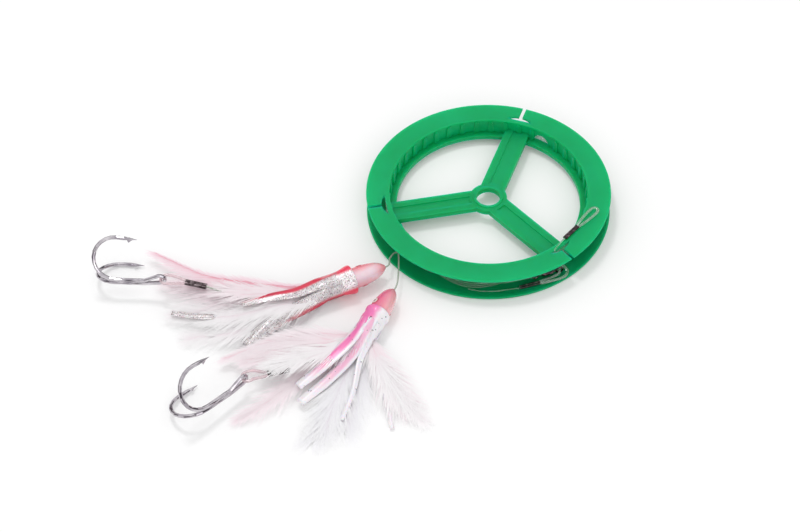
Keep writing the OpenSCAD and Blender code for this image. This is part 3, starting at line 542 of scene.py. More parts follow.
eye_back = 0.0155
eye_radius = 0.0023
for node, nose, turn, roll in (("lure_eyes_a", nose_a, lure_turn_a, -41),
                               ("lure_eyes_b", nose_b, lure_turn_b, -50)):
    # Clear resin dome over a printed disc: a dark pupil in a silver ring with a pink rim.
    made, tree, shader = finish_named("domed resin eye " + node[-1], Roughness=0.08, IOR=1.52,
                                      Coat_Weight=1.0)
    mapped = lure_place(tree, nose, turn)
    rolled = add(
        tree, "ShaderNodeMapping",
        {"Vector": mapped.outputs["Vector"], "Location": (eye_back, 0, 0),
         "Rotation": (math.radians(roll), 0, 0)},
        vector_type="TEXTURE",
    )
    flat = add(tree, "ShaderNodeVectorMath", {0: rolled.outputs["Vector"], 1: (1, 0, 1)},
               operation="MULTIPLY")
    off = add(tree, "ShaderNodeVectorMath", {0: flat.outputs["Vector"]}, operation="LENGTH")
    share = maths(tree, "MULTIPLY", off.outputs["Value"], 1 / eye_radius)
    rings = ramp(tree, share.outputs[0], (0.0, "#5b3338"), (0.3, "#6a3b40"), (0.4, "#f4e6e4"),
                 (0.74, "#dcc4c2"),
                 (0.86, "#c9505f"))
    tree.links.new(rings, shader.inputs["Base Color"])
    dress(node, made)


# ---- Thread ----
# Waxed polyester tying thread, wound tight over the feather butts behind each head.

thread, tree, shader = finish_named("waxed polyester thread", Roughness=0.6, Sheen_Weight=0.3)
mottle(tree, shader, 1400.0, 2.0, (0.0, "#b8354c"), (1.0, "#e26a7c"))
dress("thread_wrap_a", thread)
dress("thread_wrap_b", thread)


# ---- Skirts ----
# Soft vinyl collars stretched over the heads and cut into strips behind. Lure A's is
# clear with silver glitter and pink edges; lure B's is white with a pink stripe and
# a few black specks. Each is moulded in one piece and slit with a knife.

collar_end = 0.0378
strip_thickness = 0.0006


def blend(tree, share, one, other):
    """Node that mixes two colours, from one to the other as the share goes from 0 to 1."""
    return add(tree, "ShaderNodeMix", {"Factor": share, 6: one, 7: other}, data_type="RGBA")


def glitter(tree, mapped, flake, dark_share, bright_share):
    """Masks for dark and bright glitter flakes, drawn about twice as coarse as the real 0.2 mm ones."""
    cells = add(tree, "ShaderNodeTexVoronoi", {"Vector": mapped.outputs["Vector"], "Scale": 1 / flake})
    pick = add(tree, "ShaderNodeSeparateColor", {"Color": cells.outputs["Color"]})
    dark = maths(tree, "LESS_THAN", pick.outputs[0], dark_share)
    bright = maths(tree, "LESS_THAN", pick.outputs[1], bright_share)
    return dark, bright  # nodes that are 1 on a flake


def vinyl(name, nose, turn, facing, by_uv, pink_from=0.25, pink_to=0.02, fade_from=0.9, fade_to=0.6,
          clear=0.0):
    """Lure A's vinyl, with the pink edge from the place round the collar or across and along a strip."""
    made, tree, shader = finish_named(
        name, Roughness=0.28, IOR=1.3, Coat_Weight=0.6, Coat_Roughness=0.15, Subsurface_Weight=0.15,
        Subsurface_Scale=0.001, Transmission_Weight=clear,
    )
    mapped = lure_place(tree, nose, turn)
    if by_uv:
        spot = add(tree, "ShaderNodeUVMap", uv_map="UVMap")
        parts = add(tree, "ShaderNodeSeparateXYZ", {"Vector": spot.outputs["UV"]})
        near = ease(tree, parts.outputs["X"], pink_from, pink_to)
        fade = ease(tree, parts.outputs["Y"], fade_from, fade_to)
        edge = maths(tree, "MULTIPLY", near.outputs[0], fade.outputs[0])
    else:
        side = round_share(tree, mapped, facing + 90, 0.0084)
        size = maths(tree, "ABSOLUTE", side.outputs[0])
        edge = ease(tree, size.outputs[0], 0.48, 0.78)
    pink = blend(tree, edge.outputs[0], linear("#eadfe2"), linear("#f0405f"))
    dark, bright = glitter(tree, mapped, 0.00045, 0.2, 0.34)
    clear_of_pink = maths(tree, "SUBTRACT", 1.0, edge.outputs[0])
    dark_here = maths(tree, "MULTIPLY", dark.outputs[0], clear_of_pink.outputs[0])
    bright_here = maths(tree, "MULTIPLY", bright.outputs[0], clear_of_pink.outputs[0])
    one = blend(tree, dark_here.outputs[0], pink.outputs[2], linear("#8d8285"))
    two = blend(tree, bright_here.outputs[0], one.outputs[2], linear("#ffffff"))
    tree.links.new(two.outputs[2], shader.inputs["Base Color"])
    shine = maths(tree, "MULTIPLY", dark_here.outputs[0], 0.8)
    tree.links.new(shine.outputs[0], shader.inputs["Metallic"])
    return made


def white_vinyl(name, nose, turn, facing, by_uv, stripe):
    """Lure B's vinyl: white with a pink stripe and sparse black specks."""
    made, tree, shader = finish_named(
        name, Roughness=0.35, IOR=1.5, Coat_Weight=0.4, Coat_Roughness=0.2, Subsurface_Weight=0.2,
        Subsurface_Scale=0.001,
    )
    mapped = lure_place(tree, nose, turn)
    if by_uv:
        spot = add(tree, "ShaderNodeUVMap", uv_map="UVMap")
        parts = add(tree, "ShaderNodeSeparateXYZ", {"Vector": spot.outputs["UV"]})
        off = maths(tree, "SUBTRACT", parts.outputs["X"], 0.5)
        size = maths(tree, "ABSOLUTE", off.outputs[0])
        across = ease(tree, size.outputs[0], 0.42, 0.12)
        fade = ease(tree, parts.outputs["Y"], 0.95, 0.7, stripe)
        band = maths(tree, "MULTIPLY", across.outputs[0], fade.outputs[0])
    else:
        side = round_share(tree, mapped, facing + 50, 0.0075)
        band = ease(tree, side.outputs[0], 0.5, 0.9)
    base = blend(tree, band.outputs[0], linear("#f2edf2"), linear("#f075b3"))
    dark, _ = glitter(tree, mapped, 0.0006, 0.009, 0.0)
    specks = blend(tree, dark.outputs[0], base.outputs[2], linear("#2a2626"))
    tree.links.new(specks.outputs[2], shader.inputs["Base Color"])
    return made


def mesh_piece(name, verts, faces, material, uvs=None):
    """A smooth mesh that rides with the ring; uvs has one pair for each corner of each face."""
    data = bpy.data.meshes.new(name)
    data.from_pydata([tuple(v) for v in verts], [], faces)
    if uvs is not None:
        layer = data.uv_layers.new(name="UVMap")
        for loop, uv in zip(layer.data, uvs):
            loop.uv = uv
    data.materials.append(material)
    data.shade_smooth()
    data.update()
    made = bpy.data.objects.new(name, data)
    bpy.context.scene.collection.objects.link(made)
    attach(made, "spool")
    return made


def collar(name, nose, turn, material, rim, front, ripple, strip_angles):
    """A skirt's collar: a rolled rim round the head and a creased tube, cut back between the strips."""
    outer = [
        (6.5, front + 0.5), (6.9, front + 0.05), (rim - 0.6, front), (rim - 0.2, front + 0.2), (rim,
                                                                                                front + 0.8),
        (rim, front + 1.8), (rim - 0.2, front + 3), (rim - 0.65, front + 4.6), (7.7, front + 7.6),
        (7.42, front + 10.6), (7.35, 33), (7.35, 34.6), (7.35, 36.2), (7.35, 37.8),
    ]
    inner = [(6.4, 37.8), (6.4, 34), (6.4, 30), (6.4, 26), (6.5, front + 2)]
    profile = [(r * mm, x * mm) for r, x in outer + inner]
    around = 120
    cut_from = 0.0295
    verts = []
    for r, x in profile:
        for k in range(around):
            a = 360 * k / around
            near = min(abs((a - s + 180) % 360 - 180) for s in strip_angles)
            kept = 1 / (1 + math.exp((near - 34) / 3.5))
            back = x if x < cut_from else cut_from + (x - cut_from) * (0.12 + 0.88 * kept)
            crease = 1 - ripple * max(0,
                                      (x - 0.022) / 0.016) * (0.5 + 0.5 * math.cos(math.radians(9 * a + 40)))
            place = on_lure(nose, turn, back, r * crease, a)
            verts.append([place[0], place[1], max(place[2], 0.0001)])
    n = len(profile)
    faces = [
        [i % n * around + k, i % n * around + (k + 1) % around, (i + 1) % n * around + (k + 1) % around,
         (i + 1) % n * around + k]
        for i in range(n) for k in range(around)
    ]
    return mesh_piece(name, verts, faces, material)


def strip(name, nose, turn, angle, route, widths, material, curl=0.25):
    """A cut strip of vinyl that runs on from the collar's wall, as round as the collar at its root."""
    root = [
        on_lure(nose, turn, back, off, angle)
        for back, off in ((collar_end - 0.008, 0.0071), (collar_end - 0.002, 0.00714),
                          (collar_end + 0.004, 0.007))
    ]
    points = through(root + [np.array(p) * mm for p in route], 10)
    roll_from = 270 - angle if angle > 180 else 90 - angle
    n = len(points)
    verts, faces, uvs = [], [], []
    columns = 9
    for i, point in enumerate(points):
        t = i / (n - 1)
        ahead = points[min(i + 1, n - 1)] - points[max(i - 1, 0)]
        ahead = ahead / np.linalg.norm(ahead)
        side = np.cross(ahead, [0, 0, 1])
        side /= np.linalg.norm(side)
        up = np.cross(side, ahead)
        roll = math.radians(np.interp(t, [0, 0.38, 0.6, 1], [roll_from, roll_from, roll_from * 0.4, 0]))
        flat = side * math.cos(roll) + up * math.sin(roll)
        rise = -side * math.sin(roll) + up * math.cos(roll)
        half = np.interp(t, np.linspace(0, 1, len(widths)), widths) * mm
        for j in range(columns):
            u = j / (columns - 1) * 2 - 1
            hollow = np.interp(t, [0, 0.35, 0.6], [half / 0.0146, half / 0.0146, curl])
            drop = hollow * half * u * u - 0.0002 * math.sin(9 * t + 4 * u)
            verts.append(point + flat * half * u - rise * drop)
    for i in range(n - 1):
        for j in range(columns - 1):
            a = i * columns + j
            faces.append([a, a + 1, a + columns + 1, a + columns])
            uvs += [
                (jj / (columns - 1), ii / (n - 1)) for ii, jj in ((i, j), (i, j + 1), (i + 1, j + 1),
                                                                  (i + 1, j))
            ]
    made = mesh_piece(name, verts, faces, material, uvs=uvs)
    shell = made.modifiers.new("thickness", "SOLIDIFY")
    shell.thickness = strip_thickness
    shell.offset = 0
    return made


vinyl_collar_a = vinyl("glitter vinyl collar", nose_a, lure_turn_a, facing_a, False)
vinyl_strip_a = vinyl("glitter vinyl strip", nose_a, lure_turn_a, facing_a, True, 0.4, 0.1, 0.8, 0.45, 0.35)
vinyl_back_a = vinyl("glitter vinyl strip, pink backed", nose_a, lure_turn_a, facing_a, True, 0.42, 0.66, 1.1,
                     0.9, 0.3)
vinyl_collar_b = white_vinyl("white vinyl collar", nose_b, lure_turn_b, facing_b, False, 1)
vinyl_pink_b = white_vinyl("white vinyl strip, pink striped", nose_b, lure_turn_b, facing_b, True, 1.0)
vinyl_faint_b = white_vinyl("white vinyl strip, faintly striped", nose_b, lure_turn_b, facing_b, True, 0.55)
vinyl_white_b = white_vinyl("white vinyl strip", nose_b, lure_turn_b, facing_b, True, 0.0)

collar_a = collar("skirt_collar_a", nose_a, lure_turn_a, vinyl_collar_a, 8.9, 21.2, 0.05, (100, 20, 265))
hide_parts("skirt_a")
collar_b = collar("skirt_collar_b", nose_b, lure_turn_b, vinyl_collar_b, 7.7, 19.8, 0.07,
                  (115, 70, 24, 328, 285))
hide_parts("skirt_b")

strips_a = [
    (100, [[-117, -75, 12.7], [-133, -77.5, 11.8], [-149, -81.5, 11]], [6, 6, 4.6, 3.4, 1.6], vinyl_back_a),
    (20, [[-121, -86, 6.6], [-137, -97, 4.6], [-147, -106, 3.6]], [5, 4.6, 4.6, 4.4, 4.2], vinyl_strip_a),
    (265, [[-118, -72, 1.3], [-145, -82, 2.2], [-170, -86.2, 6.2], [-191, -82.8, 6.4]], [3.6, 3, 2.2, 1.8],
     vinyl_strip_a),
]
strips_b = [
    (115, [[-88, -114.5, 12.4], [-103, -129.5, 9.6], [-116, -141, 7.2]], [2.8, 4.2, 4.2, 2.6], vinyl_pink_b),
    (70, [[-84.5, -119.5, 8.6], [-99.5, -136.5, 6.2], [-115, -150.5, 4.6]], [2.6, 3.4, 3.6, 2.8],
     vinyl_faint_b),
    (24, [[-80, -123, 7], [-84.5, -144, 4.4], [-91.5, -163, 3]], [3, 2.4, 1.7, 1.1], vinyl_white_b),
    (328, [[-69, -124, 3.6], [-66, -148, 3], [-63, -169, 1.4]], [2.2, 2.2, 1.8, 1.2], vinyl_white_b),
    (285, [[-71, -115.5, 1.4], [-69.5, -123.5, 1.0]], [2.2, 2, 1], vinyl_white_b),
]
for i, (angle, route, widths, material) in enumerate(strips_a):
    made = strip(f"skirt_strip_a_{i + 1}", nose_a, lure_turn_a, angle, route, widths, material, curl=0.1)
    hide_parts("skirt_strips_a")
for i, (angle, route, widths, material) in enumerate(strips_b):
    made = strip(f"skirt_strip_b_{i + 1}", nose_b, lure_turn_b, angle, route, widths, material)
    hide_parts("skirt_strips_b")


# ---- Feathers ----
# Dyed and natural white cock hackles, tied in behind each head. Every feather is a thin
# quill with a soft barb every third of a millimetre on both sides; here they are drawn
# somewhat wider and fewer, so that a vane reads as one soft sheet with a ragged edge.


def barb_tree():
    """Geometry tree that grows barbs from both sides of a quill; the quill's radius gives their reach."""
    tree = bpy.data.node_groups.new("hackle", "GeometryNodeTree")
    face = tree.interface
    face.new_socket("Quill", in_out="INPUT", socket_type="NodeSocketGeometry")
    for name, kind, value in (
        ("Barbs", "NodeSocketInt", 150), ("Splay", "NodeSocketFloat", 0.6), ("Barb Width", "NodeSocketFloat",
                                                                             0.0006),
        ("Fluff", "NodeSocketFloat", 0.2), ("Quill Size", "NodeSocketFloat", 0.00025), ("Seed",
                                                                                        "NodeSocketInt", 1),
        ("Left Share", "NodeSocketFloat", 1.0), ("Right Share", "NodeSocketFloat", 1.0),
    ):
        face.new_socket(name, in_out="INPUT", socket_type=kind).default_value = value
    face.new_socket("Finish", in_out="INPUT", socket_type="NodeSocketMaterial")
    face.new_socket("Feather", in_out="OUTPUT", socket_type="NodeSocketGeometry")
    given = add(tree, "NodeGroupInput")
    radius = add(tree, "GeometryNodeInputRadius")
    kept = add(tree, "GeometryNodeCaptureAttribute", {"Geometry": given.outputs["Quill"]})
    kept.capture_items.new("FLOAT", "Reach")
    tree.links.new(radius.outputs[0], kept.inputs["Reach"])
    spaced = add(tree, "GeometryNodeResampleCurve",
                 {"Curve": kept.outputs["Geometry"], "Count": given.outputs["Barbs"]})
    ahead = add(tree, "GeometryNodeInputTangent")
    level = add(tree, "FunctionNodeAlignRotationToVector", {"Vector": ahead.outputs[0]}, axis="X")
    upright = add(
        tree, "FunctionNodeAlignRotationToVector", {"Rotation": level.outputs[0], "Vector": (0.0, 0.0, 1.0)},
        axis="Z", pivot_axis="X",
    )
    # One barb, a unit long, flat and narrowing to its tip.
    sheet = add(tree, "GeometryNodeMeshGrid",
                {"Size X": 1.0, "Size Y": 1.0, "Vertices X": 6, "Vertices Y": 2})
    spot = add(tree, "GeometryNodeInputPosition")
    xyz = add(tree, "ShaderNodeSeparateXYZ", {"Vector": spot.outputs[0]})
    x = maths(tree, "ADD", xyz.outputs["X"], 0.5)
    taper = maths(tree, "MULTIPLY_ADD", x.outputs[0], -0.92, 1.0)
    y = maths(tree, "MULTIPLY", xyz.outputs["Y"], taper.outputs[0])
    forward = add(tree, "ShaderNodeCombineXYZ", {"X": x.outputs[0], "Y": y.outputs[0]})
    marked = add(tree, "GeometryNodeStoreNamedAttribute",
                 {"Geometry": sheet.outputs["Mesh"], "Name": "along_barb", "Value": x.outputs[0]},
                 data_type="FLOAT", domain="POINT")
    shaped = add(tree, "GeometryNodeSetPosition",
                 {"Geometry": marked.outputs["Geometry"], "Position": forward.outputs[0]})

    def draw(seed, least, most):
        """One random number for each barb; inputs 2 and 3 are the limits of a float."""
        return add(tree, "FunctionNodeRandomValue", {2: least, 3: most, "Seed": seed.outputs[0]},
                   data_type="FLOAT")

    vanes = []
    for side, share in ((1, "Left Share"), (-1, "Right Share")):
        seed = maths(tree, "ADD", given.outputs["Seed"], float(side * 31))
        loose = draw(seed, -1.0, 1.0)
        turned = maths(tree, "MULTIPLY", loose.outputs[1], given.outputs["Fluff"])
        angle = maths(tree, "ADD", given.outputs["Splay"], turned.outputs[0])
        signed = maths(tree, "MULTIPLY", angle.outputs[0], float(side))
        seed_up = maths(tree, "ADD", seed.outputs[0], 7.0)
        lift = draw(seed_up, -0.14, 0.14)
        lifted = maths(tree, "MULTIPLY", lift.outputs[1], given.outputs["Fluff"])
        way = add(tree, "ShaderNodeCombineXYZ", {"Y": lifted.outputs[0], "Z": signed.outputs[0]})
        spin = add(tree, "FunctionNodeEulerToRotation", {0: way.outputs[0]})
        facing = add(tree, "FunctionNodeRotateRotation", {0: upright.outputs[0], 1: spin.outputs[0]},
                     rotation_space="LOCAL")
        seed_long = maths(tree, "ADD", seed.outputs[0], 13.0)
        longer = draw(seed_long, 0.7, 1.12)
        reach = maths(tree, "MULTIPLY", kept.outputs["Reach"], longer.outputs[1])
        sided = maths(tree, "MULTIPLY", reach.outputs[0], given.outputs[share])
        sine = maths(tree, "SINE", given.outputs["Splay"])
        length = maths(tree, "DIVIDE", sided.outputs[0], sine.outputs[0])
        size = add(tree, "ShaderNodeCombineXYZ",
                   {"X": length.outputs[0], "Y": given.outputs["Barb Width"], "Z": 1.0})
        vanes.append(
            add(
                tree, "GeometryNodeInstanceOnPoints",
                {"Points": spaced.outputs["Curve"], "Instance": shaped.outputs["Geometry"],
                 "Rotation": facing.outputs[0],
                 "Scale": size.outputs[0]},
            )
        )
    ring = add(tree, "GeometryNodeCurvePrimitiveCircle", {"Resolution": 6, "Radius": 1.0})
    progress = add(tree, "GeometryNodeSplineParameter")
    thin = maths(tree, "MULTIPLY_ADD", progress.outputs["Factor"], -0.8, 1.0)
    thinned = maths(tree, "MULTIPLY", thin.outputs[0], given.outputs["Quill Size"])
    stem_curve = add(tree, "GeometryNodeSetCurveRadius", {"Curve": given.outputs["Quill"], "Radius": 1.0})
    stem = add(tree, "GeometryNodeCurveToMesh",
               {"Curve": stem_curve.outputs[0], "Profile Curve": ring.outputs[0],
                                                 "Fill Caps": True})
    if "Scale" in stem.inputs:
        tree.links.new(thinned.outputs[0], stem.inputs["Scale"])
    else:
        tree.links.new(thinned.outputs[0], stem_curve.inputs["Radius"])
    joined = add(tree, "GeometryNodeJoinGeometry")
    for part in (stem.outputs["Mesh"], vanes[0].outputs[0], vanes[1].outputs[0]):
        tree.links.new(part, joined.inputs[0])
    real = add(tree, "GeometryNodeRealizeInstances", {"Geometry": joined.outputs[0]})
    painted = add(tree, "GeometryNodeSetMaterial",
                  {"Geometry": real.outputs[0], "Material": given.outputs["Finish"]})
    out = add(tree, "NodeGroupOutput")
    tree.links.new(painted.outputs[0], out.inputs[0])
    return tree


hackle = barb_tree()
feather_roots = (0.0323, 0.0373)
barb_width = 0.0011


def feather_finish(name, quill, middle, edge, patchy):
    """Cock hackle: soft, matt and half see-through, coloured from the quill out, with uneven dye."""
    made, tree, shader = finish_named(name, Roughness=0.8, IOR=1.4, Sheen_Weight=0.2, Sheen_Roughness=0.5)
    place = add(tree, "ShaderNodeTexCoord")
    patch = add(tree, "ShaderNodeTexNoise",
                {"Vector": place.outputs["Object"], "Scale": patchy, "Detail": 4.0})
    out = add(tree, "ShaderNodeAttribute", attribute_name="along_barb")
    shifted = maths(tree, "MULTIPLY_ADD", patch.outputs["Fac"], 0.5, -0.25)
    share = maths(tree, "ADD", out.outputs["Fac"], shifted.outputs[0], use_clamp=True)
    tone = ramp(tree, share.outputs[0], (0.0, quill), (0.3, middle), (1.0, edge))
    tree.links.new(tone, shader.inputs["Base Color"])
    glow = add(tree, "ShaderNodeBsdfTranslucent", {"Color": tone})
    both = add(tree, "ShaderNodeMixShader", {0: 0.3, 1: shader.outputs[0], 2: glow.outputs[0]})
    # Real barbs are thinner than the drawn ones, so a vane lets half of the light by.
    rays = add(tree, "ShaderNodeLightPath")
    light = maths(tree, "MAXIMUM", rays.outputs["Is Shadow Ray"], rays.outputs["Is Diffuse Ray"])
    gaps = maths(tree, "MULTIPLY", light.outputs[0], 0.5)
    veil = add(tree, "ShaderNodeBsdfTransparent")
    airy = add(tree, "ShaderNodeMixShader", {0: gaps.outputs[0], 1: both.outputs[0], 2: veil.outputs[0]})
    tree.links.new(airy.outputs[0], tree.nodes["Material Output"].inputs["Surface"])
    return made


white_hackle = feather_finish("natural white hackle", "#fdf4f8", "#fefafc", "#ffffff", 60.0)
snow_hackle = feather_finish("bleached white hackle", "#f6f1f6", "#fcfbfe", "#ffffff", 60.0)
blush_hackle = feather_finish("pale pink dyed hackle", "#fbe3ea", "#fdf2f6", "#fffafc", 45.0)
rose_hackle = feather_finish("rose dyed hackle", "#f6afc1", "#fce4ec", "#fff5f9", 45.0)


def feather(name, nose, turn, root, route, widths, finish, barbs, splay, fluff, seed, shares):
    """A hackle from behind the head, along its route, with the given half widths in millimetres."""
    start = [
        on_lure(nose, turn, back) + root[0] * mm * heading(turn + 90) + np.array([0, 0, root[1] * mm])
        for back in feather_roots
    ]
    points = through(start + [np.array(p) * mm for p in route], 6)
    data = bpy.data.curves.new(name, "CURVE")
    data.dimensions = "3D"
    spline = data.splines.new("POLY")
    spline.points.add(len(points) - 1)
    for i, (point, place) in enumerate(zip(spline.points, points)):
        t = i / (len(points) - 1)
        point.co = (*place, 1)
        point.radius = np.interp(t, np.linspace(0, 1, len(widths)), widths) * mm
    quill = bpy.data.objects.new(name + "_quill", data)
    bpy.context.scene.collection.objects.link(quill)
    grower = quill.modifiers.new("hackle", "NODES")
    grower.node_group = hackle
    values = {"Barbs": barbs, "Splay": splay, "Barb Width": barb_width, "Fluff": fluff, "Seed": seed,
              "Left Share": shares[0], "Right Share": shares[1], "Finish": finish}
    for item in hackle.interface.items_tree:
        if item.in_out == "INPUT" and item.name in values:
            grower[item.identifier] = values[item.name]
    bpy.context.view_layer.update()
    grown = bpy.data.meshes.new_from_object(quill.evaluated_get(bpy.context.evaluated_depsgraph_get()))
    bpy.data.objects.remove(quill)
    places = np.zeros(3 * len(grown.vertices))
    grown.vertices.foreach_get("co", places)
    places = places.reshape(-1, 3)
    # Barbs that would go through the table lie on it, a little unevenly.
    places[:, 2] = np.maximum(places[:, 2], 0.0002 + 0.0003 * np.abs(np.sin(900 * places[:, 0])))
    grown.vertices.foreach_set("co", places.ravel())
    made = bpy.data.objects.new(name, grown)
    grown.name = name
    grown.shade_smooth()
    bpy.context.scene.collection.objects.link(made)
    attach(made, "spool")
    return made


# Each entry: name, root across and up, route, half widths, finish, barbs a side, splay,
# fluff, and the share of the width on the left and on the right of the quill.
feathers_a = [
    ("a_1", [0, 4.2], [[-117, -69, 10.4], [-142, -64, 9.6], [-172, -56, 9], [-203, -35, 6.5]],
     [1.8, 5, 9, 11, 7, 2.5], rose_hackle, 380, 0.3, 0.2, (1.0, 0.3)),
    ("a_1_over", [-1, 5],
     [[-116, -72.5, 10.6], [-138, -73, 11.4], [-154, -72, 11.6], [-176, -66, 8], [-190, -60, 7]],
     [1.8, 4, 6, 7, 5, 4, 2], blush_hackle, 340, 0.26, 0.25, (0.9, 0.9)),
    ("a_2", [-1.6, 1.5], [[-117, -71.5, 7], [-145, -71, 6.2], [-172, -66, 5.6], [-197, -57, 4.6]],
     [1.6, 5, 9, 10, 7, 2.5], blush_hackle, 380, 0.32, 0.3, (1.0, 0.8)),
    ("a_3", [1.6, -1.5], [[-117, -77, 5.4], [-140, -79, 5], [-166, -80, 4.6], [-190, -82, 3.6]],
     [1.6, 5, 9, 10, 8, 3], white_hackle, 380, 0.34, 0.2, (1.0, 1.0)),
    ("a_3_over", [0.5, 2], [[-114, -77.5, 9.6], [-130, -82, 9], [-150, -86, 7], [-172, -87, 5]],
     [1.6, 5, 8, 9, 7, 3], white_hackle, 340, 0.34, 0.25, (1.0, 1.0)),
    ("a_4", [-2.2, -3.6], [[-117, -80.5, 2.8], [-138, -88, 2.4], [-159, -95, 2.2], [-180, -99, 1.8]],
     [1.4, 5, 9, 11, 9, 4], white_hackle, 380, 0.4, 0.25, (1.0, 1.0)),
    ("a_4_over", [-1, -2], [[-115, -80.5, 5], [-131, -87, 4.6], [-148, -95, 4.2], [-164, -99, 3.4]],
     [1.4, 4, 7, 8, 7, 3], white_hackle, 320, 0.38, 0.25, (1.0, 1.0)),
    ("a_5", [2.2, -3.8], [[-111.5, -82.5, 0.9], [-129, -93, 0.9], [-149, -110, 0.9]],
     [1.3, 4, 8, 8, 3], white_hackle, 340, 0.38, 0.2, (1.0, 1.0)),
]
feathers_b = [
    ("b_1", [-0.5, 4.2], [[-85, -107, 10.6], [-103, -105, 9.4], [-127, -107, 8.4], [-158, -117, 5.5]],
     [1.8, 5, 9, 9, 7, 2.5], blush_hackle, 380, 0.3, 0.2, (1.0, 0.5)),
    ("b_1_over", [-1.5, 3], [[-87, -110, 9.6], [-106, -112, 10], [-126, -118, 8.6], [-146, -121, 6.6]],
     [1.8, 5, 8, 9, 7, 2.5], blush_hackle, 340, 0.3, 0.3, (1.0, 1.0)),
    ("b_2", [-3, -1.3], [[-88, -114, 5], [-109, -128, 4.2], [-132, -148, 3.4], [-150, -160, 2]],
     [1.6, 4, 7, 7, 5, 2], blush_hackle, 340, 0.3, 0.3, (1.0, 1.0)),
    ("b_2_over", [-2, 1], [[-90, -114, 10], [-105, -120.5, 11.4], [-121, -127, 12.2], [-134, -130, 10.6]],
     [1.6, 4, 6, 6, 4, 2], white_hackle, 320, 0.26, 0.3, (1.0, 1.0)),
    ("b_3", [-2.2, -3.8], [[-86.8, -119, 2.2], [-93.5, -139, 1.6], [-100, -157, 1.6], [-106, -172, 1.2]],
     [1.4, 6, 9, 11, 10, 7], snow_hackle, 340, 0.36, 0.2, (1.0, 1.0)),
    ("b_3_over", [-1.2, -2], [[-85, -120, 4.6], [-91, -137, 3.6], [-96, -153, 2.8], [-99, -167, 2.2]],
     [1.4, 5, 8, 10, 9, 6], snow_hackle, 340, 0.36, 0.3, (1.0, 1.0)),
    ("b_4", [0.9, -2.7], [[-79.4, -119, 3.3], [-82, -136, 2.4], [-85.5, -152, 1.4], [-88.5, -166, 1.2]],
     [1.1, 6, 9, 11, 10, 7], snow_hackle, 340, 0.36, 0.25, (1.0, 1.0)),
    ("b_5", [2.9, -0.6], [[-72.6, -113.5, 7.6], [-67.5, -127.5, 6.6], [-61, -143, 5.2], [-51, -157, 1.8]],
     [1.6, 3.6, 7, 8, 7, 3], blush_hackle, 340, 0.32, 0.3, (1.0, 1.0)),
    ("b_5_over", [2, 0.5], [[-74, -115, 7], [-68, -130, 7.4], [-60, -147, 6], [-46, -164, 2.4]],
     [1.6, 3, 6, 7, 6, 3], white_hackle, 320, 0.3, 0.35, (1.0, 1.0)),
]
for nose, turn, group in ((nose_a, lure_turn_a, feathers_a), (nose_b, lure_turn_b, feathers_b)):
    for i, (tag, root, route, widths, finish, barbs, splay, fluff, shares) in enumerate(group):
        made = feather("hackle_" + tag, nose, turn, root, route, widths, finish, barbs, splay, fluff, 11 + i,
                       shares)
        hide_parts("feather_" + tag[:3])


# ---- Table and light ----
# A plain white table under a large soft lamp from above and behind, with a weak fill
# from the front, in a white room.


def seen_rays(tree):
    """The light path, and a node that is 1 for rays that show the backdrop, straight or in metal or glass."""
    rays = add(tree, "ShaderNodeLightPath")
    straight = maths(tree, "MAXIMUM", rays.outputs["Is Camera Ray"], rays.outputs["Is Glossy Ray"])
    return rays, maths(tree, "MAXIMUM", straight.outputs[0], rays.outputs["Is Transmission Ray"])


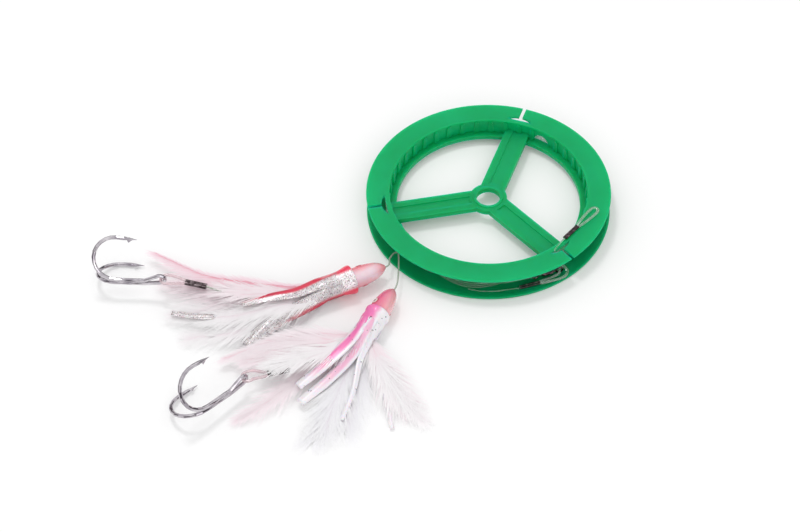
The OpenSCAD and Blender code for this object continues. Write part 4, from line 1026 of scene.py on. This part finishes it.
table_reach = 6
table_height = -0.0003
table = bpy.data.meshes.new("table_top")
corners = [(table_reach * x, table_reach * y, table_height) for x, y in ((-1, -1), (1, -1), (1, 1), (-1, 1))]
table.from_pydata(corners, [], [(0, 1, 2, 3)])
table_top = bpy.data.objects.new("table_top", table)
bpy.context.scene.collection.objects.link(table_top)
paper = bpy.data.materials.new("white paper")
paper.use_nodes = True
tree = paper.node_tree
tree.nodes.clear()
rays, seen = seen_rays(tree)
matt = add(tree, "ShaderNodeBsdfDiffuse", {"Color": linear("#f0f0f0")})
lift = add(tree, "ShaderNodeEmission", {"Color": (1, 1, 1, 1), "Strength": 0.13})
bright = add(tree, "ShaderNodeAddShader", {0: matt.outputs[0], 1: lift.outputs[0]})
chosen = add(tree, "ShaderNodeMixShader", {0: seen.outputs[0], 1: matt.outputs[0], 2: bright.outputs[0]})
add(tree, "ShaderNodeOutputMaterial", {"Surface": chosen.outputs[0]})
table.materials.append(paper)

world = bpy.data.worlds.new("white room")
bpy.context.scene.world = world
world.use_nodes = True
tree = world.node_tree
tree.nodes.clear()
rays, seen = seen_rays(tree)
room = add(tree, "ShaderNodeBackground", {"Color": (1, 1, 1, 1), "Strength": 0.8})
gaze = add(tree, "ShaderNodeTexCoord")
split = add(tree, "ShaderNodeSeparateXYZ", {"Vector": gaze.outputs["Generated"]})
# What metal mirrors: a dark band above the table, then a white room.
low = ramp(tree, split.outputs["Z"], (0.02, "#c9c6c8"), (0.1, "#5d585c"), (0.3, "#6f6a6e"), (0.42, "#e6e4e6"),
           (0.72, "#ffffff"))
tinted = blend(tree, rays.outputs["Is Glossy Ray"], (1.0, 1.0, 1.0, 1.0), low)
wall = add(tree, "ShaderNodeBackground", {"Color": tinted.outputs[2], "Strength": 1.0})
chosen = add(tree, "ShaderNodeMixShader", {0: seen.outputs[0], 1: room.outputs[0], 2: wall.outputs[0]})
add(tree, "ShaderNodeOutputWorld", {"Surface": chosen.outputs[0]})


def lamp(name, place, target, size, power):
    """A round area lamp at a place, turned to its target."""
    data = bpy.data.lights.new(name, "AREA")
    data.shape = "DISK"
    data.size = size
    data.energy = power
    made = bpy.data.objects.new(name, data)
    bpy.context.scene.collection.objects.link(made)
    made.location = place
    made.rotation_mode = "QUATERNION"
    made.rotation_quaternion = (Vector(target) - Vector(place)).to_track_quat("-Z", "Y")
    return made


lamps_aim = (-0.05, -0.04, 0)
lamp("overhead softbox", (-0.25, 0.35, 1.2), lamps_aim, 0.28, 3.2)
lamp("front fill", (0.2, -1.3, 0.55), lamps_aim, 0.9, 3.2)

bpy.context.scene.view_settings.view_transform = "Standard"
